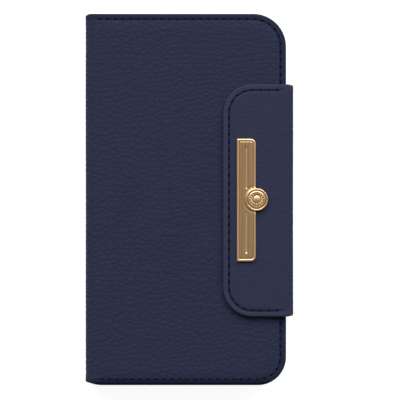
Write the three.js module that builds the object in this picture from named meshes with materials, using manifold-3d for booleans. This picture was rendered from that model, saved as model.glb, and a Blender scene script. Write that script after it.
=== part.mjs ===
// A folio wallet case for a 6.1 inch phone, closed and lying on its back.
//
// The case opens like a book: a leather spine on the left joins the back panel, which carries a moulded
// phone tray, to the padded front cover, which carries the card pockets. A wide strap is sewn into the
// right edge of the back panel, wraps the side and lies on the front cover, where magnets hold it. A metal
// plate with a round medallion is riveted to the strap.
//
// Millimetres. +Z is up, out of the front cover. +Y is the top of the phone. X = 0 and Y = 0 are the middle
// of the closed case, strap included, and Z = 0 is the outer face of the back panel.

import * as THREE from "three";
import { mergeVertices } from "three/addons/utils/BufferGeometryUtils.js";
import Module from "manifold-3d";

const wasm = await Module();
wasm.setup();

// ---- Driving dimensions --------------------------------------------------------------------------------

const CASE_HEIGHT = 158; // both covers, along Y
const CASE_WIDTH = 88; // spine to the outside of the strap, along X
const STRAP_STANDOFF = 3; // how far the strap stands out beyond the covers' free edge
const TOP_CORNER = 14; // corner radii of the covers' free edge
const BOTTOM_CORNER = 12;

const PHONE = { width: 71.6, height: 147.6, thickness: 7.8 };
const PHONE_CLEARANCE = 0.1;

const GLUE = 0.05; // the film between layers that are bonded together
const FREE_GAP = 0.3; // the gap between layers that only lie on each other
const ARC_STEPS = 8; // three.js draws each arc with twice this many segments
const DISC_STEPS = 12; // the same, for whole discs

// Sheet thicknesses.
const BACK = { leather: 0.8, board: 1.0, lining: 0.5 };
const SPINE = { leather: 0.8, board: 0.6, lining: 0.4 };
const FRONT = { pocket: 0.4, lining: 0.4, board: 0.8, foam: 0.6, leather: 0.8 };
const STRAP = { lining: 0.5, board: 1.0, leather: 0.7 };

const TRAY = { floor: 1.2, wall: 1.4, lip: 0.8, lipHeight: 0.9, corner: 12 };
const PORT = { width: 50, height: 5 };
const MUTE_SWITCH = { length: 10, y: 45 };
const KEY_COVER = { width: 2.6, proud: 0.6 };
const KEYS = [
  { side: -1, y: 30, length: 11 },
  { side: -1, y: 15, length: 11 },
  { side: 1, y: 30, length: 17 },
];
const CAMERA = { width: 32, height: 33, corner: 8, inset: 5, collar: 1.2 };

const FOLD_INSET = 0.9; // each fold line lies this far inside the outer faces that meet there

const STRAP_HEIGHT = 98.6;
const STRAP_SHIFT = -0.4; // the strap sits a little below the middle
const STRAP_REACH = 29.6; // from the outside of the strap to the tip of its tongue
const STRAP_CORNER = 12.4;
const STRAP_TAIL = 8; // the length sewn inside the back panel

const BOARD_INSET = 1.5; // the stiffeners stop short of the leather's edge
const SPINE_BOARD_INSET = 2.5; // leaves room for the leather to turn the corner
const TONGUE_BOARD_INSET = 1;
const FOAM_INSET = 4;
const POCKET_INSET = 0.4;

const SEAM = { cover: 2.4, strap: 2.5, width: 0.6, height: 0.2, start: 1.5 };

// Where each pocket's mouth lies, measured from the spine end of the front cover.
const MOUTH = { cash: 5, firstCard: 15, step: 9 };
const THUMB = { radius: 10, depth: 3.2 }; // the notch in each pocket's mouth

const PLATE = { width: 8.1, height: 52.6, thickness: 1.1, rim: 0.95, sunk: 0.4, corner: 2.2, tipGap: 5.8 };
const RIB = { width: 0.7, height: 0.25, inner: 4.6, outer: 23 };
const BEZEL = { radius: 4.8, thickness: 1.5, wall: 0.8, floor: 0.5, offset: 8.45 };
const MEDALLION = { thickness: 1.1, chamfer: 0.2, rim: 0.7, sunk: 0.4, domeRadius: 1.9, domeRise: 0.35 };
const POST = { radius: 0.8, hole: 1.1, spread: 20 };
const WASHER = { radius: 2.2, bore: 0.9, thickness: 0.3 };
const MAGNET = { radius: 6, spread: 35, fromTip: 11.6, clearance: 0.3 };

// ---- Places worked out from them -----------------------------------------------------------------------

const left = -CASE_WIDTH / 2; // outer face of the spine
const strapOutside = CASE_WIDTH / 2;
const freeEdge = strapOutside - STRAP_STANDOFF;
const top = CASE_HEIGHT / 2;
const bottom = -top;

const backLeatherZ = 0;
const backBoardZ = backLeatherZ + BACK.leather + GLUE;
const backLiningZ = backBoardZ + BACK.board + GLUE;
const trayZ = backLiningZ + BACK.lining + GLUE;
const trayInside = {
  width: PHONE.width + 2 * PHONE_CLEARANCE,
  height: PHONE.height + 2 * PHONE_CLEARANCE,
  depth: PHONE.thickness + PHONE_CLEARANCE,
};
const trayHeight = TRAY.floor + trayInside.depth + TRAY.lipHeight;
const trayX = (left + freeEdge) / 2; // the tray lies midway across the back panel

// Closed, the front cover's pockets hang below its lining: the cash pocket first and card pocket 3 lowest.
const CARD_POCKETS = 3;
const pocketPitch = FRONT.pocket + FREE_GAP;
const cardPocketZ = (index) => trayZ + trayHeight + FREE_GAP + (CARD_POCKETS - index) * pocketPitch;
const cashPocketZ = cardPocketZ(0);
const frontLiningZ = cashPocketZ + pocketPitch;
const frontBoardZ = frontLiningZ + FRONT.lining + GLUE;
const frontFoamZ = frontBoardZ + FRONT.board + GLUE;
const frontLeatherZ = frontFoamZ + FRONT.foam + GLUE;
const frontOutside = frontLeatherZ + FRONT.leather;

const tongueLiningZ = frontOutside + FREE_GAP;
const tongueBoardZ = tongueLiningZ + STRAP.lining + GLUE;
const tongueLeatherZ = tongueBoardZ + STRAP.board + GLUE;
const strapOutsideZ = tongueLeatherZ + STRAP.leather;

// Fold lines, all along Y.
const backFold = { x: left + FOLD_INSET, z: FOLD_INSET };
const coverFold = { x: left + FOLD_INSET, z: frontOutside - FOLD_INSET };
const strapFold = { x: strapOutside - FOLD_INSET, z: FOLD_INSET };
const tongueFold = { x: strapOutside - FOLD_INSET, z: strapOutsideZ - FOLD_INSET };
const FOLD_CLEARANCE = 0.1; // how far a folding panel's end stays from its fold line
const panelLeft = left + SPINE.leather + SPINE.board + SPINE.lining + 2 * GLUE + FREE_GAP;

const strapTop = STRAP_SHIFT + STRAP_HEIGHT / 2;
const strapBottom = STRAP_SHIFT - STRAP_HEIGHT / 2;
const tailLeft = freeEdge - STRAP_TAIL;
const tailRight = strapFold.x - FOLD_INSET / 2;
const tongueTip = strapOutside - STRAP_REACH;
const tongueRight = tongueFold.x - FOLD_INSET;
const plateLeft = tongueTip + PLATE.tipGap;
const plateRight = plateLeft + PLATE.width;
const bezelX = plateLeft + BEZEL.offset;
const magnetX = tongueTip + MAGNET.fromTip;

const cameraX = trayX + PHONE.width / 2 - CAMERA.inset - CAMERA.width / 2;
const cameraY = PHONE.height / 2 - CAMERA.inset - CAMERA.height / 2;

// ---- Materials -----------------------------------------------------------------------------------------

function material(color, roughness, metalness = 0) {
  return new THREE.MeshStandardMaterial({ color, roughness, metalness });
}

const leather = material(0x2d3247, 0.6);
const lining = material(0x262b40, 0.75);
const board = material(0x6b6459, 0.9);
const foam = material(0x3a3d46, 0.95);
const tpu = material(0x1b2032, 0.55);
const thread = material(0x23283c, 0.8);
const gold = material(0xb8925c, 0.3, 1);
const steel = material(0xb9bcc2, 0.35, 1);

// ---- Outlines and solids -------------------------------------------------------------------------------

// A rectangle with its own radius at each corner, drawn anticlockwise from the lower left corner.
function roundedRectangle(x0, y0, x1, y1, radii = {}) {
  const { lowerLeft = 0, lowerRight = 0, upperRight = 0, upperLeft = 0 } = radii;
  const shape = new THREE.Shape();
  const corner = (x, y, radius, from) => {
    if (radius > 0) shape.absarc(x, y, radius, from, from + Math.PI / 2, false);
    else shape.lineTo(x, y);
  };
  shape.moveTo(x0 + lowerLeft, y0);
  corner(x1 - lowerRight, y0 + lowerRight, lowerRight, -Math.PI / 2);
  corner(x1 - upperRight, y1 - upperRight, upperRight, 0);
  corner(x0 + upperLeft, y1 - upperLeft, upperLeft, Math.PI / 2);
  corner(x0 + lowerLeft, y0 + lowerLeft, lowerLeft, Math.PI);
  shape.closePath();
  return shape;
}

const allCorners = (radius) => ({
  lowerLeft: radius,
  lowerRight: radius,
  upperRight: radius,
  upperLeft: radius,
});

// A cover panel: square at the spine, rounded at the free edge. inset shrinks the three free sides.
function coverOutline(x0, inset = 0) {
  return roundedRectangle(x0, bottom + inset, freeEdge - inset, top - inset, {
    lowerRight: BOTTOM_CORNER - inset,
    upperRight: TOP_CORNER - inset,
  });
}

// The strap's tongue: rounded at its tip, square where it folds. inset shrinks the three free sides.
function tongueOutline(inset = 0) {
  const half = STRAP_HEIGHT / 2 - inset;
  return roundedRectangle(tongueTip + inset, STRAP_SHIFT - half, tongueRight, STRAP_SHIFT + half, {
    lowerLeft: STRAP_CORNER - inset,
    upperLeft: STRAP_CORNER - inset,
  });
}

function circle(x, y, radius) {
  const shape = new THREE.Shape();
  shape.absarc(x, y, radius, 0, 2 * Math.PI, false);
  return shape;
}

// A flat sheet cut to an outline, lying with its lower face at z = 0.
function sheet(shape, thickness, holes = [], curveSegments = ARC_STEPS) {
  shape.holes.push(...holes);
  return new THREE.ExtrudeGeometry(shape, { depth: thickness, bevelEnabled: false, curveSegments });
}

function disc(x, y, radius, z0, thickness) {
  return sheet(circle(x, y, radius), thickness, [], DISC_STEPS).translate(0, 0, z0);
}

const box = (x0, y0, z0, x1, y1, z1) =>
  new THREE.BoxGeometry(x1 - x0, y1 - y0, z1 - z0).translate((x0 + x1) / 2, (y0 + y1) / 2, (z0 + z1) / 2);

// Solids for joining and cutting, and the way back.
function solid(geometry) {
  const bare = geometry.clone();
  bare.deleteAttribute("normal");
  bare.deleteAttribute("uv");
  const merged = mergeVertices(bare, 1e-4);
  return new wasm.Manifold(
    new wasm.Mesh({
      numProp: 3,
      vertProperties: merged.attributes.position.array,
      triVerts: new Uint32Array(merged.index.array),
    }),
  );
}

function geometryOf(manifold) {
  const { vertProperties, triVerts } = manifold.getMesh();
  return new THREE.BufferGeometry()
    .setAttribute("position", new THREE.BufferAttribute(vertProperties, 3))
    .setIndex(new THREE.BufferAttribute(triVerts, 1));
}

const joined = (first, ...others) => others.reduce((sum, other) => sum.add(other), first);
const cut = (first, ...others) => others.reduce((rest, other) => rest.subtract(other), first);

// ---- Scene graph helpers -------------------------------------------------------------------------------

const walletCase = new THREE.Group();

function bodyGroup() {
  const group = new THREE.Group();
  walletCase.add(group);
  return group;
}

// z lifts a piece that was drawn with its lower face at z = 0.
function add(group, name, geometry, look, z = 0) {
  const mesh = new THREE.Mesh(geometry, look);
  mesh.name = name;
  mesh.position.z = z;
  group.add(mesh);
}

// ---- Back panel and phone tray -------------------------------------------------------------------------

const back = bodyGroup();

// The camera window's outline, grown by a margin.
function cameraOutline(margin) {
  const halfWidth = CAMERA.width / 2 + margin;
  const halfHeight = CAMERA.height / 2 + margin;
  return roundedRectangle(
    cameraX - halfWidth,
    cameraY - halfHeight,
    cameraX + halfWidth,
    cameraY + halfHeight,
    allCorners(CAMERA.corner + margin),
  );
}

// The panel's own window, which clears the collar that stands round the camera.
const panelWindow = () => cameraOutline(CAMERA.collar + FREE_GAP);

// The board is cut away for the strap's tail, which lies beside it between leather and lining.
function backBoard() {
  const panel = solid(sheet(coverOutline(panelLeft, BOARD_INSET), BACK.board, [panelWindow()]));
  const half = STRAP_HEIGHT / 2 + FREE_GAP;
  const notch = box(
    tailLeft - FREE_GAP,
    STRAP_SHIFT - half,
    -BACK.board,
    strapOutside,
    STRAP_SHIFT + half,
    2 * BACK.board,
  );
  return geometryOf(cut(panel, solid(notch)));
}

const backSheet = (thickness) => sheet(coverOutline(panelLeft), thickness, [panelWindow()]);
add(back, "back_leather", backSheet(BACK.leather), leather, backLeatherZ);
add(back, "back_board", backBoard(), board, backBoardZ);
add(back, "back_lining", backSheet(BACK.lining), lining, backLiningZ);

// The tail of the strap: its leather below and its lining above, sewn in along the right edge.
const tailThickness = (BACK.board - 2 * GLUE) / 2;
for (const [name, look, z] of [
  ["strap_tail_leather", leather, backBoardZ],
  ["strap_tail_lining", lining, backBoardZ + tailThickness + GLUE],
]) {
  add(back, name, box(tailLeft, strapBottom, 0, tailRight, strapTop, tailThickness), look, z);
}

// The moulded tray that grips the phone: floor, walls, a lip round the screen and a collar round the camera.
function phoneTray() {
  const halfWidth = trayInside.width / 2;
  const halfHeight = trayInside.height / 2;
  const block = (margin, z0, z1) => {
    const outline = roundedRectangle(
      trayX - halfWidth - margin,
      -halfHeight - margin,
      trayX + halfWidth + margin,
      halfHeight + margin,
      allCorners(TRAY.corner - TRAY.wall + margin),
    );
    return solid(sheet(outline, z1 - z0).translate(0, 0, z0));
  };
  const window = (margin, z0, z1) => solid(sheet(cameraOutline(margin), z1 - z0).translate(0, 0, z0));
  const boxAt = (width, depth, height, x, y, z) =>
    solid(new THREE.BoxGeometry(width, depth, height).translate(x, y, z));

  const screenZ = TRAY.floor + trayInside.depth;
  const collarZ = FREE_GAP - trayZ; // the collar ends just inside the outer face of the back panel
  const middleZ = (TRAY.floor + screenZ) / 2;
  const wallMiddle = TRAY.wall / 2;
  const wallCut = 4 * TRAY.wall;
  const keyCovers = KEYS.map(({ side, y, length }) => {
    const x = trayX + side * (halfWidth + TRAY.wall);
    return boxAt(2 * KEY_COVER.proud, length, KEY_COVER.width, x, y, middleZ);
  });
  const moulding = joined(
    block(TRAY.wall, 0, trayHeight),
    window(CAMERA.collar, collarZ, TRAY.floor / 2),
    ...keyCovers,
  );
  const port = boxAt(PORT.width, wallCut, PORT.height, trayX, -halfHeight - wallMiddle, middleZ);
  const muteX = trayX - halfWidth - wallMiddle;
  const mute = boxAt(wallCut, MUTE_SWITCH.length, PORT.height, muteX, MUTE_SWITCH.y, middleZ);
  return geometryOf(
    cut(
      moulding,
      block(0, TRAY.floor, screenZ),
      block(-TRAY.lip, TRAY.floor, 2 * trayHeight),
      window(0, 2 * collarZ, 2 * TRAY.floor),
      port,
      mute,
    ),
  );
}

add(back, "phone_tray", phoneTray(), tpu, trayZ);

// ---- Seams ---------------------------------------------------------------------------------------------

// A seam round three sides of a panel, as one low band of thread. It stops at endX, short of the fold, and
// side says whether the fold is to the left (-1) or to the right (1).
function seam(outline, inset, endX, side) {
  const outer = solid(sheet(outline(inset - SEAM.width / 2), SEAM.height));
  const inner = solid(sheet(outline(inset + SEAM.width / 2), 3 * SEAM.height).translate(0, 0, -SEAM.height));
  const beyond = endX + side * CASE_WIDTH;
  const openSide = box(
    Math.min(endX, beyond),
    bottom,
    -SEAM.height,
    Math.max(endX, beyond),
    top,
    2 * SEAM.height,
  );
  return geometryOf(cut(outer, inner, solid(openSide)));
}

const coverSeam = seam((inset) => coverOutline(panelLeft, inset), SEAM.cover, panelLeft + SEAM.start, -1);
const tongueSeam = seam(tongueOutline, SEAM.strap, tongueRight - SEAM.start, 1);

add(back, "back_stitching", coverSeam, thread, trayZ);

// ---- Spine ---------------------------------------------------------------------------------------------

const spine = bodyGroup();
const spineZ0 = backFold.z + FOLD_CLEARANCE;
const spineZ1 = coverFold.z - FOLD_CLEARANCE;
const spineBoardX = left + SPINE.leather + GLUE;
const spineLiningX = spineBoardX + SPINE.board + GLUE;

// An upright layer of the spine; inset shrinks all four of its edges.
function spineLayer(name, look, x, thickness, inset = 0) {
  const z0 = spineZ0 + inset;
  const z1 = spineZ1 - inset;
  add(spine, name, box(x, bottom + inset, z0, x + thickness, top - inset, z1), look);
}

spineLayer("spine_leather", leather, left, SPINE.leather);
spineLayer("spine_board", board, spineBoardX, SPINE.board, SPINE_BOARD_INSET);
spineLayer("spine_lining", lining, spineLiningX, SPINE.lining);

// ---- Front cover ---------------------------------------------------------------------------------------

const front = bodyGroup();

const magnetSpots = [
  ["upper", STRAP_SHIFT + MAGNET.spread],
  ["lower", STRAP_SHIFT - MAGNET.spread],
];
const magnetHoles = () => magnetSpots.map(([, y]) => circle(magnetX, y, MAGNET.radius + MAGNET.clearance));

// A pocket sheet, sewn down on its three free sides, with its mouth towards the spine.
function pocket(mouth) {
  const mouthX = panelLeft + mouth;
  const flat = solid(sheet(coverOutline(mouthX, POCKET_INSET), FRONT.pocket));
  const thumbX = mouthX + THUMB.depth - THUMB.radius;
  const thumb = solid(disc(thumbX, 0, THUMB.radius, -FRONT.pocket, 3 * FRONT.pocket));
  return geometryOf(cut(flat, thumb));
}

const frontBoard = sheet(coverOutline(panelLeft + BOARD_INSET, BOARD_INSET), FRONT.board, magnetHoles());
const frontFoam = sheet(coverOutline(panelLeft + BOARD_INSET, FOAM_INSET), FRONT.foam);

for (let index = 1; index <= CARD_POCKETS; index++) {
  const mouth = MOUTH.firstCard + (index - 1) * MOUTH.step;
  add(front, `card_pocket_${index}`, pocket(mouth), lining, cardPocketZ(index));
}
add(front, "cash_pocket", pocket(MOUTH.cash), lining, cashPocketZ);
add(front, "front_lining", sheet(coverOutline(panelLeft), FRONT.lining), lining, frontLiningZ);
add(front, "front_board", frontBoard, board, frontBoardZ);
add(front, "front_foam", frontFoam, foam, frontFoamZ);
add(front, "front_leather", sheet(coverOutline(panelLeft), FRONT.leather), leather, frontLeatherZ);
add(front, "front_stitching", coverSeam, thread, frontOutside + GLUE);
for (const [place, y] of magnetSpots) {
  add(front, `cover_magnet_${place}`, disc(magnetX, y, MAGNET.radius, 0, FRONT.board), steel, frontBoardZ);
}

// ---- Strap: the wall round the side --------------------------------------------------------------------

const strapSide = bodyGroup();
const strapZ0 = strapFold.z + FOLD_CLEARANCE;
const strapZ1 = tongueFold.z - FOLD_CLEARANCE;
const sideLeatherX = strapOutside - STRAP.leather;

for (const [name, look, x, thickness] of [
  ["strap_side_leather", leather, sideLeatherX, STRAP.leather],
  ["strap_side_lining", lining, sideLeatherX - GLUE - STRAP.lining, STRAP.lining],
]) {
  add(strapSide, name, box(x, strapBottom, strapZ0, x + thickness, strapTop, strapZ1), look);
}

// ---- Strap: the tongue on the front --------------------------------------------------------------------

const tongue = bodyGroup();

// Rivet posts on the underside of the plate: two under the bar and one under the bezel.
const postSpots = [
  ["upper", plateLeft + PLATE.width / 2, POST.spread],
  ["lower", plateLeft + PLATE.width / 2, -POST.spread],
  ["middle", bezelX, 0],
];
const postHoles = () => postSpots.map(([, x, y]) => circle(x, y, POST.hole));

// The board carries the magnets, and its underside is counterbored for the rivet washers.
function tongueBoard() {
  const holes = [...magnetHoles(), ...postHoles()];
  const flat = solid(sheet(tongueOutline(TONGUE_BOARD_INSET), STRAP.board, holes));
  const recess = WASHER.thickness + GLUE;
  const counterbores = postSpots.map(([, x, y]) =>
    solid(disc(x, y, WASHER.radius + FREE_GAP, -STRAP.board, STRAP.board + recess)),
  );
  return geometryOf(cut(flat, ...counterbores));
}

add(tongue, "tongue_lining", sheet(tongueOutline(), STRAP.lining), lining, tongueLiningZ);
add(tongue, "tongue_board", tongueBoard(), board, tongueBoardZ);
add(tongue, "tongue_leather", sheet(tongueOutline(), STRAP.leather, postHoles()), leather, tongueLeatherZ);
add(tongue, "tongue_stitching", tongueSeam, thread, strapOutsideZ + GLUE);
for (const [place, y] of magnetSpots) {
  add(tongue, `strap_magnet_${place}`, disc(magnetX, y, MAGNET.radius, 0, STRAP.board), steel, tongueBoardZ);
}

const metalZ = strapOutsideZ + GLUE;
const postLength = metalZ - tongueBoardZ; // each post ends flush with the underside of the board
const post = (x, y) => solid(disc(x, y, POST.radius, -postLength, postLength + BEZEL.floor / 2));

// A cast bar with a raised rim, a sunken field and two ribs, and a round bezel standing across its edge.
function ornamentPlate() {
  const half = PLATE.height / 2;
  const bar = (inset, z0, thickness) => {
    const outline = roundedRectangle(plateLeft + inset, -half + inset, plateRight - inset, half - inset, {
      lowerRight: PLATE.corner - inset / 2,
      upperRight: PLATE.corner - inset / 2,
    });
    return solid(sheet(outline, thickness).translate(0, 0, z0));
  };
  const fieldZ = PLATE.thickness - PLATE.sunk;
  const ribX = plateLeft + PLATE.width / 2;
  const ribRadius = RIB.width / 2;
  const ribRoot = fieldZ / 2; // each rib starts inside the bar, so that the two join cleanly
  const rib = (y0, y1) => {
    const outline = roundedRectangle(ribX - ribRadius, y0, ribX + ribRadius, y1, allCorners(ribRadius));
    return solid(sheet(outline, fieldZ + RIB.height - ribRoot, [], ARC_STEPS / 2).translate(0, 0, ribRoot));
  };
  const casting = joined(
    cut(bar(0, 0, PLATE.thickness), bar(PLATE.rim, fieldZ, PLATE.thickness)),
    rib(RIB.inner, RIB.outer),
    rib(-RIB.outer, -RIB.inner),
    solid(disc(bezelX, 0, BEZEL.radius, 0, BEZEL.thickness)),
    ...postSpots.map(([, x, y]) => post(x, y)),
  );
  const seat = solid(disc(bezelX, 0, BEZEL.radius - BEZEL.wall, BEZEL.floor, BEZEL.thickness));
  return geometryOf(cut(casting, seat));
}

// A turned disc set in the bezel: a raised rim, a sunken ring and a low dome in the middle.
function ornamentMedallion() {
  const { thickness, chamfer, rim, sunk, domeRadius, domeRise } = MEDALLION;
  const radius = BEZEL.radius - BEZEL.wall - FREE_GAP;
  const ringZ = thickness - sunk;
  const outline = [
    [0, 0],
    [radius, 0],
    [radius, thickness - chamfer],
    [radius - chamfer, thickness],
    [radius - rim, thickness],
    [radius - rim, ringZ],
    [domeRadius, ringZ],
  ];
  const domeSteps = 4;
  for (let step = 1; step < domeSteps; step++) {
    const angle = (step / domeSteps) * (Math.PI / 2);
    outline.push([domeRadius * Math.cos(angle), ringZ + domeRise * Math.sin(angle)]);
  }
  outline.push([0, ringZ + domeRise]);
  const profile = outline.map(([r, z]) => new THREE.Vector2(r, z));
  return new THREE.LatheGeometry(profile, 2 * DISC_STEPS).rotateX(Math.PI / 2).translate(bezelX, 0, 0);
}

add(tongue, "ornament_plate", ornamentPlate(), gold, metalZ);
add(tongue, "ornament_medallion", ornamentMedallion(), gold, metalZ + BEZEL.floor + GLUE);

for (const [place, x, y] of postSpots) {
  const washer = sheet(circle(x, y, WASHER.radius), WASHER.thickness, [circle(x, y, WASHER.bore)]);
  add(tongue, `rivet_washer_${place}`, washer, steel, tongueBoardZ);
}

export default walletCase;
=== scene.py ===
"""The looks of a folio phone wallet case, made round its CAD frame.

Each leather and lining sheet is a closed shell that follows an L-shaped line: along a side of the case,
round a corner and along a face. Two sheets meet in the middle of the spine, and two in the middle of the
strap's side, so that each one bends across a single joint. Lengths here are in millimetres, in the part's
frame, until a mesh is made from them.
"""

import math

import bmesh
import bpy
import numpy as np
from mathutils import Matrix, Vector
from mathutils.geometry import delaunay_2d_cdt


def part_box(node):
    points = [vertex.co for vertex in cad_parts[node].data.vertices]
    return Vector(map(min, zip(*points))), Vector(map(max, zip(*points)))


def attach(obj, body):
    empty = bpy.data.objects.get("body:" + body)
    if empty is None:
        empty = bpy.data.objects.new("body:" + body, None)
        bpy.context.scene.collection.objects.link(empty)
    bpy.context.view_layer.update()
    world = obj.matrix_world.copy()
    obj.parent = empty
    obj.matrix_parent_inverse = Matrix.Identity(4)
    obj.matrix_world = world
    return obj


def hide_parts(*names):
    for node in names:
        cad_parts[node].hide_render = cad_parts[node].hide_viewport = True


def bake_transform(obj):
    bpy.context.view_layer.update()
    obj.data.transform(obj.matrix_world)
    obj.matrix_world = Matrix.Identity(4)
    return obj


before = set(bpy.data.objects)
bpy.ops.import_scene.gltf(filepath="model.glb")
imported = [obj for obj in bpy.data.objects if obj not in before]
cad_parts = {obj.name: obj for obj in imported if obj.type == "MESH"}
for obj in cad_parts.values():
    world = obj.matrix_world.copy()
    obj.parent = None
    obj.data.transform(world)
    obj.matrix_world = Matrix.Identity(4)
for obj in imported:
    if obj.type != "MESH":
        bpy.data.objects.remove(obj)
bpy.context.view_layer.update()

MM = 0.001
RIGHT_ANGLE = math.pi / 2


def box_mm(node):
    """Lowest and highest corner of a CAD node, in millimetres."""
    low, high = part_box(node)
    return np.array(low) / MM, np.array(high) / MM


# ---- Places, read from the CAD -------------------------------------------------------------------------

X, Y, Z = range(3)
PLATE_TRIM = 0.5  # the visible bar stops this far short of the CAD plate's top edge

front_low, front_high = box_mm("front_leather")
back_low, back_high = box_mm("back_leather")
spine_low, spine_high = box_mm("spine_leather")
spine_lining_low, _ = box_mm("spine_lining")
front_lining_low, front_lining_high = box_mm("front_lining")
back_lining_low, back_lining_high = box_mm("back_lining")
side_low, side_high = box_mm("strap_side_leather")
_, side_lining_high = box_mm("strap_side_lining")
tongue_low, tongue_high = box_mm("tongue_leather")
tongue_lining_low, tongue_lining_high = box_mm("tongue_lining")
tail_low, tail_high = box_mm("strap_tail_leather")
tail_lining_low, _ = box_mm("strap_tail_lining")
foam_low, foam_high = box_mm("front_foam")
_, tray_high = box_mm("phone_tray")
plate_low, plate_high = box_mm("ornament_plate")
plate_high[Y] -= PLATE_TRIM
badge_low, badge_high = box_mm("ornament_medallion")

cover_low, cover_high = front_low[Y], front_high[Y]
strap_low, strap_high = tongue_low[Y], tongue_high[Y]
spine_middle = (spine_low[Z] + spine_high[Z]) / 2
side_middle = (side_low[Z] + side_high[Z]) / 2

# ---- Sizes of the leatherwork --------------------------------------------------------------------------

TOP_CORNER = 14.0  # the covers' corner radii at their free edge
BOTTOM_CORNER = 12.0
STRAP_CORNER = 12.4
TAIL_CORNER = 1.0

SPINE_TURN = 4.0  # outer radius where the leather turns from a cover into the spine
STRAP_TURN = 2.2
LINING_TURN = 1.5
STRAP_LINING_TURN = 0.9
TAIL_LINING_TURN = 1.6

COVER_SEAM = 2.4  # how far the stitches lie inside the edge
STRAP_SEAM = 2.5
COVER_PITCH = 3.3
STRAP_PITCH = 3.5
COVER_SEAM_GAP = 0.5  # how far short of the turn into the spine, or the strap's side, the seams stop
STRAP_SEAM_GAP = 2.5
INNER_SEAM_START = 3.0  # how far from the spine's side the cover's inner seams stop
NO_SEAM = 1e3  # further along than any sheet reaches

SKIN = 0.8  # thickness of the leather
STRAP_SKIN = 0.68
HEM_GAP = 0.03  # between a turned hem and the lining it lies on
RIM_REACH = 0.02  # how far the rim of a thin edge reaches past the leather's inner side
COVER_HEM = 1.35  # width of the turned edge that hides the boards
STRAP_HEM = 0.9
TAIL_HEM = 0.4
COVER_ROUND = 0.5  # radius of the leather's outer edges
BACK_ROUND = 0.4
STRAP_ROUND = 0.45
TAIL_ROUND = 0.2
UNDER_ROUND = 0.3  # and of their edges on the inner side

FINE = 0.44  # grid spacing of the grained faces
PLAIN = 1.0  # and of plainer ones
COARSE = 2.0

GRAIN_CELL = (2.6, 2.25)  # a pebble's usual width and height
COVER_GRAIN = 0.24  # how high the pebbles stand
STRAP_GRAIN = 0.1
FRONT_PAD = (0.55, 5.0)  # how far a padded field stands above its stitched border, and its slope's width
BACK_PAD = (0.3, 4.0)
STRAP_PAD = (0.28, 2.2)
TAIL_PAD = (0.1, 2.2)
SEAM_GROOVE = (0.45, 0.2)  # half width and depth
SWELL = 0.05  # how uneven a padded field is
COVER_DROP = 0.8  # how far the front cover's border falls away at the bottom edge
SPINE_CUT = (1.35, 0.6)  # how far the spine's bottom and top ends are drawn in
STRAP_CUT = 0.6  # and the ends of the strap's side
SIDE_BULGE = 0.25  # how far the leather stands out on the spine and on the strap's side
COVER_OVERHANG = 0.2  # and how far the covers' leather stands out at their free edge


def smooth(low, high, value):
    """0 below low, 1 above high, and an even ease between them."""
    t = np.clip((value - low) / (high - low), 0, 1)
    return t * t * (3 - 2 * t)


# ---- Lines that the sheets follow ----------------------------------------------------------------------


class Bend:
    """An L-shaped line in the XZ plane, walked from the middle of a side (0) to the end of a face. Its leg
    ends where it starts to turn, and its face starts where it stops."""

    def __init__(self, side_x, middle_z, face_z, end_x, radius):
        self.x_sign = math.copysign(1, end_x - side_x)
        self.z_sign = math.copysign(1, face_z - middle_z)
        self.radius = radius
        self.leg = abs(face_z - middle_z) - radius
        self.turn = radius * RIGHT_ANGLE
        self.face = self.leg + self.turn
        self.length = self.face + abs(end_x - side_x) - radius
        self.centre = (side_x + self.x_sign * radius, face_z - self.z_sign * radius)

    def place(self, p, q, height):
        """Points of the sheet at p along the line and q across it, standing out by height."""
        angle = np.clip((p - self.leg) / self.radius, 0, RIGHT_ANGLE)
        out_x = -self.x_sign * np.cos(angle)
        out_z = self.z_sign * np.sin(angle)
        run = np.maximum(p - self.leg - self.turn, 0)
        left = np.maximum(self.leg - p, 0)
        x = self.centre[0] + self.x_sign * run + out_x * (self.radius + height)
        z = self.centre[1] - self.z_sign * left + out_z * (self.radius + height)
        return np.stack([x, q + 0 * p, z], -1)

    def steps(self, spacing):
        """Values of p up to the end of the turn."""
        leg = np.linspace(0, self.leg, max(2, math.ceil(self.leg / spacing)) + 1)
        count = max(8, math.ceil(self.turn / spacing))
        turn = np.linspace(self.leg, self.face, count + 1)
        return np.concatenate([leg, turn[1:]])

    def turn_ends(self):
        """The two points where the corner starts and stops, in metres."""
        ends = self.place(np.array([self.leg, self.face]), np.zeros(2), 0.0)
        return [tuple(point * MM) for point in ends]


class Flat:
    """A straight line along X at one height, for a sheet that doesn't bend. out is 1 if it faces up."""

    def __init__(self, start_x, end_x, face_z, out=1.0):
        self.start_x = start_x
        self.x_sign = math.copysign(1, end_x - start_x)
        self.face_z = face_z
        self.out = out
        self.length = abs(end_x - start_x)

    def place(self, p, q, height):
        z = self.face_z + self.out * height
        return np.stack([self.start_x + self.x_sign * p, q + 0 * p, z + 0 * p], -1)

    def steps(self, spacing):
        return np.array([0.0, spacing])


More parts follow.
